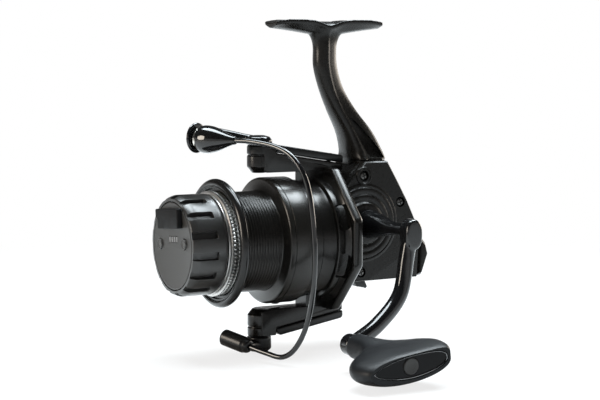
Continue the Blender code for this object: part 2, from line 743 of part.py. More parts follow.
def make_bearings():
    """The two drive-shaft bearings, the pinion bearing and the one-way clutch."""
    inner = DRIVE_SHAFT_RADIUS + GAP
    left_start = ROOM_LEFT - DRIVE_BEARING_WIDTH
    collar("drive_bearing_left", inner, DRIVE_BEARING_RADIUS, left_start, ROOM_LEFT, CRANK_LINE, BRIGHT)
    right_start = CASE_SPLIT + GAP
    right_end = right_start + DRIVE_BEARING_WIDTH
    collar("drive_bearing_right", inner, DRIVE_BEARING_RADIUS, right_start, right_end, CRANK_LINE, BRIGHT)
    pinion_span = (NOSE_FRONT, NOSE_FRONT + NOSE_WALL)
    collar("pinion_bearing", SLEEVE_BORE, PINION_BEARING_RADIUS, *pinion_span, SPOOL_LINE, BRIGHT)
    housing_rear = NOSE_FRONT - GAP
    housing_front = housing_rear - CLUTCH_LENGTH
    collar(
        "one_way_clutch", CLUTCH_SLEEVE_RADIUS + GAP, CLUTCH_RADIUS, housing_front, housing_rear, SPOOL_LINE,
        SATIN, steps=24,
    )
    collar(
        "clutch_sleeve", SLEEVE_BORE, CLUTCH_SLEEVE_RADIUS, housing_front, housing_rear - GAP, SPOOL_LINE,
        BRIGHT, rotor_axis,
    )
    cap_inner = left_start - GAP
    cap_profile = [
        (0, cap_inner),
        (DRIVE_BEARING_RADIUS - 0.5, cap_inner),
        (DRIVE_BEARING_RADIUS - 0.5, CASE_LEFT - GAP),
        (DRIVE_BEARING_RADIUS + 1.2, CASE_LEFT - GAP),
        (DRIVE_BEARING_RADIUS + 0.4, CASE_LEFT - 3.0),
        (0, CASE_LEFT - 3.6),
    ]
    turned("handle_side_cap", cap_profile, CRANK_LINE, SATIN, steps=16)


def make_anti_reverse_lever():
    """The small switch under the case."""
    line = (Vector((0, AR_LEVER_Y, -AXIS_DROP)), UP)
    pin_span = (CASE_BOTTOM - 3.5, CASE_BOTTOM + CASE_WALL)
    pin = rod("anti_reverse_lever", AR_PIN_RADIUS, *pin_span, line, SATIN, lever_axis, 16)
    outline = [
        (AR_LEVER_Y - 3, CASE_BOTTOM - 0.6),
        (AR_LEVER_Y - 1.5, CASE_BOTTOM - 4.2),
        (AR_LEVER_Y + 4, CASE_BOTTOM - 5.6),
        (AR_LEVER_Y + 5, CASE_BOTTOM - 4.6),
        (AR_LEVER_Y + 3, CASE_BOTTOM - 0.6),
    ]
    fuse(pin, slab_across("lever_tab", outline, -2.6, 2.6, None))


def helical_gear(name, teeth, pitch_radius, twist, start, end, line, phase, finish, parent, layers):
    """A toothed bar whose trapezoid teeth follow a helix."""
    root = pitch_radius - PINION_DEDENDUM
    tip = pitch_radius + PINION_ADDENDUM
    share = TOOTH_SHARE
    corners = [(-0.72, root), (-0.22, tip), (0.22, tip), (0.72, root)]
    matrix = frame_of(line)
    rings = []
    for layer in range(layers + 1):
        along = start + (end - start) * layer / layers
        turn = phase + twist * along
        ring = []
        for tooth in range(teeth):
            for offset, radius in corners:
                angle = turn + 2 * pi * (tooth + offset * share) / teeth
                ring.append(matrix @ Vector((radius * cos(angle), radius * sin(angle), along)))
        rings.append(ring)
    return lofted(name, rings, finish, parent)


def make_pinion():
    """The hollow pinion: helical teeth at the rear and a sleeve forward to the rotor nut."""
    pinion = helical_gear(
        "pinion_gear", PINION_TEETH, PINION_PITCH_RADIUS, TWIST, PINION_TOOTH_FRONT, PINION_TOOTH_REAR,
        SPOOL_LINE, PINION_PHASE, BRASS, rotor_axis, layers=7,
    )
    sleeve_span = (PINION_FRONT, PINION_TOOTH_FRONT + 0.5)
    bore_span = (PINION_FRONT - 1, PINION_TOOTH_REAR + 1)
    sleeve = rod("pinion_sleeve", PINION_SLEEVE_RADIUS, *sleeve_span, SPOOL_LINE, None, steps=24)
    bore = rod("pinion_bore", SHAFT_RADIUS + GAP, *bore_span, SPOOL_LINE, None, steps=16)
    fuse(pinion, sleeve)
    cut(pinion, bore)


def make_drive_gear():
    """The face gear with its hollow shaft. Its teeth point away from the handle, at the pinion."""
    shaft_end = BOSS_OUTER - 1
    profile = [
        (DRIVE_SHAFT_BORE, ROOM_LEFT - DRIVE_BEARING_WIDTH),
        (DRIVE_SHAFT_RADIUS, ROOM_LEFT - DRIVE_BEARING_WIDTH),
        (DRIVE_SHAFT_RADIUS, GEAR_FACE_X),
        (GEAR_RADIUS, GEAR_FACE_X),
        (GEAR_RADIUS, GEAR_FACE_X + GEAR_THICK),
        (DRIVE_SHAFT_RADIUS + 1.5, GEAR_FACE_X + GEAR_THICK),
        (DRIVE_SHAFT_RADIUS + 1.5, CASE_SPLIT),
        (DRIVE_SHAFT_RADIUS, CASE_SPLIT),
        (DRIVE_SHAFT_RADIUS, shaft_end),
        (DRIVE_SHAFT_BORE, shaft_end),
    ]
    gear = turned("drive_gear", profile, CRANK_LINE, BRASS, crank_axis, steps=18)
    bm = bmesh.new()
    normal_pitch = 2 * pi * PINION_PITCH_RADIUS * HELIX_COS / PINION_TEETH
    root_half = normal_pitch * TOOTH_SHARE * 0.72
    tip_half = normal_pitch * TOOTH_SHARE * 0.22
    contact_radius = hypot(MESH_OFFSET_Y, CRANK_RISE)
    contact_angle = atan2(-CRANK_RISE, -MESH_OFFSET_Y)
    roll = sqrt((contact_radius / GEAR_BASE_RADIUS) ** 2 - 1)
    first = contact_angle + atan2(roll, 1) - roll
    stops = [0.15, 1.0]
    for tooth in range(GEAR_TEETH):
        base_angle = first + 2 * pi * (tooth + 0.5) / GEAR_TEETH
        rings = []
        for stop in stops:
            radius = GEAR_BASE_RADIUS + (GEAR_RING - 0.3) * stop
            unroll = sqrt((radius / GEAR_BASE_RADIUS) ** 2 - 1)
            angle = base_angle + unroll
            spot = Vector((
                GEAR_BASE_RADIUS * (cos(angle) + unroll * sin(angle)),
                GEAR_BASE_RADIUS * (sin(angle) - unroll * cos(angle)),
            ))
            normal = Vector((-sin(angle), cos(angle)))
            ring = []
            for half, x in ((-root_half, GEAR_FACE_X + 0.5), (-tip_half, GEAR_TIP_X),
                            (tip_half, GEAR_TIP_X), (root_half, GEAR_FACE_X + 0.5)):
                flat = spot + normal * half
                ring.append(bm.verts.new(at_crank(flat.x, flat.y, x)))
            rings.append(ring)
        for near, far in zip(rings, rings[1:]):
            for index in range(4):
                after = (index + 1) % 4
                bm.faces.new((near[index], near[after], far[after], far[index]))
        bm.faces.new(rings[0])
        bm.faces.new(rings[-1])
    fuse(gear, piece(bm, "gear_teeth", None))


def make_oscillation():
    """The worm shaft with its gear, the guide rod and the carriage that carries the main shaft."""
    front = NOSE_FRONT + NOSE_WALL + GAP
    rear = CASE_TAIL - 1 - GAP
    worm = helical_gear(
        "worm_shaft", WORM_TEETH, WORM_PITCH_RADIUS, WORM_TWIST, WORM_GEAR_FRONT,
        WORM_GEAR_FRONT + WORM_GEAR_WIDTH, WORM_LINE, WORM_PHASE, BRIGHT, worm_axis, layers=3,
    )
    fuse(worm, rod("worm_bar", WORM_RADIUS, front, rear, WORM_LINE, None, steps=12))
    guide_line = (Vector((GUIDE_X, 0, GUIDE_RISE - AXIS_DROP)), FORE)
    rod("guide_rod", GUIDE_RADIUS, CASE_FRONT + CASE_WALL + 4, rear, guide_line, BRIGHT, steps=10)
    end = CARRIAGE_FRONT + CARRIAGE_LENGTH
    low = (GUIDE_X - 2.7, CARRIAGE_FRONT, WORM_RISE - 4.5 - AXIS_DROP)
    high = (SHAFT_RADIUS + 0.9, end, SHAFT_RADIUS + 1.6 - AXIS_DROP)
    carriage = block("oscillation_carriage", low, high, SATIN, shaft_slide)
    span = (CARRIAGE_FRONT - 1, end + 1)
    cut(
        carriage,
        rod("carriage_shaft_hole", SHAFT_RADIUS + GAP, *span, SPOOL_LINE, None, steps=16),
        rod("carriage_worm_hole", WORM_RADIUS + GAP, *span, WORM_LINE, None, steps=12),
        rod("carriage_guide_hole", GUIDE_RADIUS + GAP, *span, guide_line, None, steps=10),
    )


def arm_outline(front, sign):
    """Side view of a rotor arm, above the axis for sign 1 and below it for sign -1."""
    points = [
        (front, ARM_INNER_RISE + 1.5),
        (front + 1.5, ARM_INNER_RISE),
        (ARM_REAR, ARM_INNER_RISE),
        (ARM_REAR, ARM_REAR_RISE),
        (ARM_COVER_FRONT, ARM_OUTER_RISE),
        (ARM_COVER_FRONT - GAP, ARM_BLOCK_RISE),
        (front + 1.0, ARM_BLOCK_RISE),
        (front, ARM_BLOCK_RISE - 1.0),
    ]
    return [(y, rise * sign) for y, rise in points]


def hoop_ring(share, y):
    """The eight corners of the rotor's rear hoop, scaled towards the spool axis."""
    radius = ROTOR_HOOP_RADIUS * share
    turns = [radians(corner) for corner in HOOP_CORNERS]
    return [Vector((radius * cos(turn), y, radius * sin(turn) - AXIS_DROP)) for turn in turns]


def make_rotor():
    """The cup that turns round the spool skirt, with its two arms."""
    inner = DRUM_RADIUS - DRUM_WALL
    wall_rear = ROTOR_FRONT + ROTOR_FRONT_WALL
    flare_edge = ROTOR_HOOP_RADIUS * HOOP_BORE_SHARE + 0.7
    profile = [
        (SLEEVE_BORE, ROTOR_FRONT),
        (DRUM_RADIUS - 1, ROTOR_FRONT),
        (DRUM_RADIUS, ROTOR_FRONT + 1),
        (DRUM_RADIUS, ROTOR_FLARE_FRONT - 6.0),
        (DRUM_RADIUS - 0.9, ROTOR_FLARE_FRONT - 5.5),
        (DRUM_RADIUS - 0.9, ROTOR_FLARE_FRONT + 1.0),
        (DRUM_RADIUS + 1.4, ROTOR_FLARE_FRONT + 1.4),
        (DRUM_RADIUS + 1.4, ROTOR_HOOP_FRONT - 2.7),
        (flare_edge, ROTOR_HOOP_FRONT - 1.5),
        (flare_edge, ROTOR_HOOP_REAR - 2.0),
        (flare_edge - 1.5, ROTOR_HOOP_REAR - 2.4),
        (inner + 1.8, ROTOR_FLARE_FRONT + 4),
        (inner, ROTOR_FLARE_FRONT + 1),
        (inner, wall_rear),
        (SLEEVE_BORE, wall_rear),
    ]
    rotor = turned("rotor", profile, SPOOL_LINE, ANODISED, rotor_axis, steps=28)
    hoop = banded(
        "hoop_form",
        [
            hoop_ring(HOOP_BORE_SHARE, ROTOR_HOOP_FRONT - 1.3),
            hoop_ring(0.965, ROTOR_HOOP_FRONT - 1.3),
            hoop_ring(1.0, ROTOR_HOOP_FRONT - 0.7),
            hoop_ring(1.0, ROTOR_HOOP_REAR - 0.7),
            hoop_ring(0.98, ROTOR_HOOP_REAR),
            hoop_ring(HOOP_BORE_SHARE, ROTOR_HOOP_REAR),
        ],
        None,
    )
    fuse(rotor, hoop)
    web_floor = DRUM_RADIUS - 1.2
    for side, front, sign in (("upper", UPPER_ARM_FRONT, 1), ("lower", LOWER_ARM_FRONT, -1)):
        outline = arm_outline(front, sign)
        arm = slab_across("arm_" + side, outline, -ARM_HALF_WIDTH, ARM_HALF_WIDTH, None)
        web_points = [
            (ARM_WEB_FRONT, web_floor * sign),
            (ROTOR_HOOP_REAR - 0.5, web_floor * sign),
            (ROTOR_HOOP_REAR - 0.5, (ARM_INNER_RISE + 1) * sign),
            (ARM_WEB_FRONT, (ARM_INNER_RISE + 1) * sign),
        ]
        web = slab_across("web_" + side, web_points, -ARM_HALF_WIDTH + 0.4, ARM_HALF_WIDTH - 0.4, None)
        fuse(rotor, arm, web)
        ends = sorted((PIVOT_DEEP * sign, PIVOT_OUT * sign))
        pivot_tap = rod("pivot_tap_" + side, PIVOT_PIN_RADIUS + GAP, *ends, PIVOT_LINE, None, steps=14)
        cut(rotor, pivot_tap)
    pocket_low = (-SPRING_POCKET_HALF_WIDTH, ARM_COVER_FRONT + 4, ARM_INNER_RISE + 2.2 - AXIS_DROP)
    pocket_high = (SPRING_POCKET_HALF_WIDTH, SPRING_POCKET_REAR, ARM_OUTER_RISE + 2 - AXIS_DROP)
    cut(rotor, block("spring_pocket", pocket_low, pocket_high))
    return rotor


def make_rotor_fittings(rotor):
    """Arm covers with their screws, the rotor nut and the bail spring."""
    slope = (ARM_OUTER_RISE - ARM_REAR_RISE) / (ARM_REAR - ARM_COVER_FRONT)
    screw_y = ARM_REAR - 5.0
    screw_rise = ARM_OUTER_RISE - slope * (screw_y - ARM_COVER_FRONT)
    for side, sign in (("upper", 1), ("lower", -1)):
        points = [
            (ARM_COVER_FRONT, ARM_OUTER_RISE + GAP),
            (ARM_REAR, ARM_REAR_RISE + GAP),
            (ARM_REAR, ARM_REAR_RISE + GAP + ARM_COVER_THICK - 0.8),
            (ARM_REAR - 0.8, ARM_REAR_RISE + GAP + ARM_COVER_THICK),
            (ARM_COVER_FRONT + 2, ARM_OUTER_RISE + GAP + ARM_COVER_THICK - 0.4),
            (ARM_COVER_FRONT, ARM_OUTER_RISE + GAP + ARM_COVER_THICK - 2),
        ]
        outline = [(y, rise * sign) for y, rise in points]
        cover = slab_across("arm_cover_" + side, outline, -ARM_HALF_WIDTH, ARM_HALF_WIDTH, SATIN, rotor_axis)
        line = (Vector((0, screw_y, -AXIS_DROP)), UP * sign)
        top = screw_rise + GAP + ARM_COVER_THICK
        hole_radius = ARM_SCREW_RADIUS + GAP
        sink_radius = ARM_SCREW_HEAD_RADIUS + GAP
        cut(cover, rod("cover_sink_" + side, sink_radius, top - 1.6, top + 3, line, None, steps=12))
        cut(cover, rod("cover_through_" + side, hole_radius, screw_rise - 2, top, line, None, steps=10))
        cut(rotor, rod("arm_tap_" + side, hole_radius, screw_rise - 3, screw_rise + 2, line, None, steps=10))
        profile = [
            (0, screw_rise - 2.5),
            (ARM_SCREW_RADIUS, screw_rise - 2.5),
            (ARM_SCREW_RADIUS, top - 1.3),
            (ARM_SCREW_HEAD_RADIUS, top - 1.3),
            (ARM_SCREW_HEAD_RADIUS - 0.2, top - 0.1),
            (0, top - 0.1),
        ]
        turned("arm_screw_" + side, profile, line, BRIGHT, rotor_axis, steps=10)
    nut_rear = ROTOR_FRONT - GAP
    nut_front = nut_rear - ROTOR_NUT_WIDTH
    nut = rod("rotor_nut", ROTOR_NUT_RADIUS, nut_front, nut_rear, SPOOL_LINE, BRIGHT, rotor_axis, steps=6)
    cut(nut, rod("rotor_nut_bore", SLEEVE_BORE, nut_front - 1, nut_rear + 1, SPOOL_LINE, None, steps=16))
    turns = 5
    steps = 8
    spring_front = ARM_COVER_FRONT + 5
    spring_length = 10.0
    spring_radius = 1.7
    spring_rise = ARM_INNER_RISE + 4.5
    path = []
    for index in range(turns * steps + 1):
        angle = 2 * pi * index / steps
        y = spring_front + spring_length * index / (turns * steps)
        z = spring_rise + spring_radius * sin(angle) - AXIS_DROP
        path.append(Vector((spring_radius * cos(angle), y, z)))
    spring = wire_tube("bail_spring", path, 0.45, BRIGHT, rotor_axis)
    spring.data.bevel_resolution = 0


def along_bail(distance, rise):
    """A point in the bail's plane, from the roller along the roller axis."""
    spot = ROLLER_POINT + ROLLER_AXIS * distance
    return Vector((spot.x, spot.y, rise - AXIS_DROP))


def make_bail():
    """Bail arm, roller, cone, wire and lower lever, which turn together about the pivot."""
    disc_end = -ROLLER_WIDTH / 2 - GAP
    disc_start = disc_end - BAIL_DISC_WIDTH
    hub_floor = ARM_BLOCK_RISE + GAP
    hub_profile = [
        (0, hub_floor),
        (BAIL_HUB_RADIUS, hub_floor),
        (BAIL_HUB_RADIUS, BAIL_HUB_TOP - 3),
        (BAIL_HUB_RADIUS - 2, BAIL_HUB_TOP - 0.8),
        (0, BAIL_HUB_TOP),
    ]
    arm = turned("bail_arm", hub_profile, PIVOT_LINE, GLOSS, bail_axis, steps=16)
    disc_profile = [
        (0, disc_start),
        (BAIL_DISC_RADIUS - 2.0, disc_start),
        (BAIL_DISC_RADIUS, disc_start + 1.6),
        (BAIL_DISC_RADIUS, disc_end - 0.6),
        (BAIL_DISC_RADIUS - 0.6, disc_end),
        (0, disc_end),
    ]
    disc = turned("bail_disc", disc_profile, ROLLER_LINE, None, steps=16)
    path = smooth_path(
        [
            Vector((0, BAIL_PIVOT_Y, 50.2 - AXIS_DROP)),
            Vector((-9.5, BAIL_PIVOT_Y - 6.5, 50.6 - AXIS_DROP)),
            Vector((-16.8, BAIL_PIVOT_Y - 17.0, 51.0 - AXIS_DROP)),
            along_bail(disc_start + 1.2, ROLLER_RISE + 0.6),
        ],
        4,
    )
    strap = swept("bail_strap", path, oval(STRAP_HALF_WIDTH, STRAP_HALF_HEIGHT, 12, 2.6), ROLLER_AXIS, None)
    pin_hole = rod(
        "roller_pin_hole", ROLLER_PIN_RADIUS + GAP, disc_start - 2, disc_end + 1, ROLLER_LINE, None, steps=12
    )
    head_floor = disc_start + ROLLER_HEAD_SINK
    head_seat = rod(
        "roller_head_seat", ROLLER_HEAD_RADIUS + GAP, disc_start - 8, head_floor, ROLLER_LINE, None, steps=12
    )
    fuse(arm, strap, disc)
    cut(arm, head_seat)
    pivot_hole = rod(
        "upper_pivot_hole", PIVOT_PIN_RADIUS + GAP, hub_floor - 1, hub_floor + 4, PIVOT_LINE, None, steps=10
    )
    cut(arm, pin_hole, pivot_hole)
    pin_span = (PIVOT_DEEP + GAP, hub_floor + 3.5)
    rod("pivot_pin_upper", PIVOT_PIN_RADIUS, *pin_span, PIVOT_LINE, BRIGHT, bail_axis, steps=10)

    half = ROLLER_WIDTH / 2
    groove = ROLLER_RADIUS - 0.9
    bore = ROLLER_PIN_RADIUS + GAP
    roller_profile = [
        (bore, -half),
        (ROLLER_RADIUS, -half),
        (groove, -half * 0.3),
        (groove, half * 0.3),
        (ROLLER_RADIUS, half),
        (bore, half),
    ]
    turned("line_roller", roller_profile, ROLLER_LINE, BRIGHT, roller_axis, steps=16)

    cone_start = half + GAP
    cone_end = cone_start + CONE_LENGTH
    pin_profile = [
        (0, disc_start - 0.7),
        (ROLLER_HEAD_RADIUS, disc_start - 0.7),
        (ROLLER_HEAD_RADIUS, head_floor - GAP),
        (ROLLER_PIN_RADIUS, head_floor - GAP),
        (ROLLER_PIN_RADIUS, cone_start + 3.5),
        (0, cone_start + 3.5),
    ]
    turned("roller_screw", pin_profile, ROLLER_LINE, BRIGHT, bail_axis, steps=12)
    cone_profile = [
        (0, cone_start),
        (CONE_RADIUS - 1.0, cone_start),
        (CONE_RADIUS, cone_start + 1.4),
        (CONE_RADIUS - 0.2, cone_start + 4.0),
        (CONE_RADIUS * 0.66, cone_start + CONE_LENGTH * 0.56),
        (WIRE_RADIUS + 1.0, cone_start + CONE_LENGTH * 0.85),
        (WIRE_RADIUS + 0.7, cone_end),
        (0, cone_end),
    ]
    cone = turned("roller_cone", cone_profile, ROLLER_LINE, GLOSS, bail_axis, steps=16)
    cone_pin_span = (cone_start - 1, cone_start + 4)
    cut(
        cone,
        rod("cone_pin_hole", ROLLER_PIN_RADIUS + GAP, *cone_pin_span, ROLLER_LINE, None, steps=12),
        rod("cone_wire_hole", WIRE_RADIUS + GAP, cone_end - 3, cone_end + 1, ROLLER_LINE, None, steps=10),
    )

    barrel_start = along_bail(14.0, -45.2)
    barrel_end = along_bail(30.0, -48.4)
    barrel_axis = (barrel_end - barrel_start).normalized()
    barrel_length = (barrel_end - barrel_start).length
    barrel_line = (barrel_start, barrel_axis)
    wire_end = barrel_end - barrel_axis * 3
    wire_points = [
        along_bail(cone_end - 2.5, ROLLER_RISE),
        along_bail(WIRE_REACH - 37, ROLLER_RISE - 0.2),
        along_bail(WIRE_REACH - 23, 47.8),
        along_bail(WIRE_REACH - 13, 43.2),
        along_bail(WIRE_REACH - 5.5, 33.5),
        along_bail(WIRE_REACH - 1.8, 19.0),
        along_bail(WIRE_REACH, -2.0),
        along_bail(WIRE_REACH - 1.6, -22.0),
        along_bail(WIRE_REACH - 5.6, -36.5),
        along_bail(WIRE_REACH - 12.0, -46.8),
        along_bail(WIRE_REACH - 19.5, -51.2),
        along_bail(WIRE_REACH - 29.0, -50.2),
        barrel_end + barrel_axis * 1.5,
        wire_end,
    ]
    wire_tube("bail_wire", smooth_path(wire_points, 3), WIRE_RADIUS, GLOSS, bail_axis)

    hub_top = -(ARM_BLOCK_RISE + GAP)
    lever_profile = [
        (0, LEVER_HUB_BOTTOM),
        (LEVER_HUB_RADIUS - 1.5, LEVER_HUB_BOTTOM),
        (LEVER_HUB_RADIUS, LEVER_HUB_BOTTOM + 1.5),
        (LEVER_HUB_RADIUS, hub_top),
        (0, hub_top),
    ]
    lever = turned("bail_lever", lever_profile, PIVOT_LINE, SATIN, bail_axis, steps=16)
    barrel_profile = [
        (0, 0),
        (LEVER_BARREL_RADIUS - 0.6, 0),
        (LEVER_BARREL_RADIUS, 0.6),
        (LEVER_BARREL_RADIUS, barrel_length - 1),
        (LEVER_BARREL_RADIUS - 1, barrel_length),
        (0, barrel_length),
    ]
    barrel = turned("lever_barrel", barrel_profile, barrel_line, None, steps=18)
    bridge_path = [
        Vector((0, BAIL_PIVOT_Y, -51.0 - AXIS_DROP)),
        Vector((4.0, BAIL_PIVOT_Y - 10.0, -50.0 - AXIS_DROP)),
        barrel_start.lerp(barrel_end, 0.55),
    ]
    bridge_section = oval(BRIDGE_HALF_WIDTH, BRIDGE_HALF_HEIGHT, 12, 2.6)
    bridge = swept("lever_bridge", bridge_path, bridge_section, ACROSS, None)
    wire_span = (barrel_length - 3.6, barrel_length + 2)
    wire_hole = rod("lever_wire_hole", WIRE_RADIUS + GAP, *wire_span, barrel_line, None, steps=12)
    low_pivot_hole = rod(
        "lower_pivot_hole", PIVOT_PIN_RADIUS + GAP, hub_top - 4, hub_top + 1, PIVOT_LINE, None, steps=10
    )
    fuse(lever, barrel, bridge)
    cut(lever, wire_hole, low_pivot_hole)
    pin_span = (hub_top - 3.5, -PIVOT_DEEP - GAP)
    rod("pivot_pin_lower", PIVOT_PIN_RADIUS, *pin_span, PIVOT_LINE, BRIGHT, bail_axis, steps=10)


def make_shaft():
    """The main shaft that carries the spool, with the seat behind the spool."""
    rod("main_shaft", SHAFT_RADIUS, SHAFT_FRONT, SHAFT_REAR, SPOOL_LINE, BRIGHT, shaft_slide, steps=16)
    seat_front = WEB_REAR + GAP
    span = (seat_front, seat_front + SEAT_WIDTH)
    collar("spool_seat", SHAFT_RADIUS + GAP, SEAT_RADIUS, *span, SPOOL_LINE, SATIN, shaft_slide)


def make_spool():
    """The spool with its skirt, lip, line clip and drag washers."""
    inner_arbor = ARBOR_RADIUS - ARBOR_WALL
    inner_skirt = SKIRT_RADIUS - SKIRT_WALL
    skirt_rear = FLANGE_FRONT + SKIRT_LENGTH
    profile = [
        (SPOOL_BORE, CHAMBER_FLOOR),
        (CHAMBER_RADIUS, CHAMBER_FLOOR),
        (CHAMBER_RADIUS, ARBOR_FRONT),
        (ARBOR_RADIUS, ARBOR_FRONT),
        (ARBOR_RADIUS, FLANGE_FRONT - 0.5),
        (FLANGE_RADIUS, FLANGE_FRONT),
        (SKIRT_RADIUS, FLANGE_FRONT + 1),
        (SKIRT_RADIUS, skirt_rear),
        (inner_skirt, skirt_rear),
        (inner_skirt, FLANGE_REAR),
        (inner_arbor, FLANGE_REAR),
        (inner_arbor, WEB_REAR),
        (SPOOL_BORE, WEB_REAR),
    ]
    spool = turned("spool_body", profile, SPOOL_LINE, ANODISED, spool_axis, steps=28)
    clip_turn = radians(-96)
    clip_line = (AXIS_POINT, Vector((cos(clip_turn), 0, sin(clip_turn))))
    clip_y = skirt_rear - 4.5
    clip_shift = (AXIS_POINT + FORE * clip_y, clip_line[1])
    cut(spool, rod("clip_hole", 1.0 + GAP, SKIRT_RADIUS - 3, SKIRT_RADIUS + 2, clip_shift, None, steps=10))
    clip_profile = [
        (0, inner_skirt),
        (1.0, inner_skirt),
        (1.0, SKIRT_RADIUS + GAP),
        (2.6, SKIRT_RADIUS + GAP),
        (2.2, SKIRT_RADIUS + 1.2),
        (0, SKIRT_RADIUS + 1.5),
    ]
    turned("line_clip", clip_profile, clip_shift, BRIGHT, spool_axis, steps=12)
    lip_profile = [
        (LIP_BORE, LIP_REAR),
        (LIP_RADIUS - 2.7, LIP_REAR),
        (LIP_RADIUS - 0.8, LIP_REAR - 0.7),
        (LIP_RADIUS, LIP_REAR - 1.9),
        (LIP_RADIUS, LIP_REAR - 2.8),
        (LIP_RADIUS - 0.7, LIP_REAR - 4.0),
        (LIP_RADIUS - 2.0, LIP_FRONT),
        (KNURL_RADIUS + 1.5, LIP_FRONT),
        (KNURL_RADIUS + 1.1, LIP_FLOOR),
        (LIP_BORE, LIP_FLOOR),
    ]
    turned("spool_lip", lip_profile, SPOOL_LINE, ANODISED, spool_axis, steps=28)

    front = CHAMBER_FLOOR - GAP
    washers = [
        ("drag_felt", FELT, spool_axis, CHAMBER_RADIUS - GAP, SPOOL_BORE),
        ("drag_plate", BRIGHT, shaft_slide, CHAMBER_RADIUS - 2 * GAP, SHAFT_RADIUS + GAP),
        ("drag_clip", BRIGHT, spool_axis, CHAMBER_RADIUS - GAP, CHAMBER_RADIUS - 2.2),
    ]
    for name, finish, parent, outer, bore in washers:
        collar(name, bore, outer, front - WASHER_THICK, front, SPOOL_LINE, finish, parent, steps=16)
        front -= WASHER_THICK + GAP
    return front


def face_spot(reach, rise):
    """A point on the knob face, with the knob's roll."""
    x = reach * cos(KNOB_ROLL) - rise * sin(KNOB_ROLL)
    up = reach * sin(KNOB_ROLL) + rise * cos(KNOB_ROLL)
    return Vector((x, 0, up - AXIS_DROP))


def face_block(name, width, height, middle_reach, middle_rise, start, end, finish=None, parent=None):
    """A box on the knob face, turned by the knob's roll."""
    a_half = width / 2
    b_half = height / 2
    corners = [(-a_half, -b_half), (a_half, -b_half), (a_half, b_half), (-a_half, b_half)]
    rings = []
    for y in (start, end):
        rings.append([face_spot(middle_reach + a, middle_rise + b) + FORE * y for a, b in corners])
    return lofted(name, rings, finish, parent)


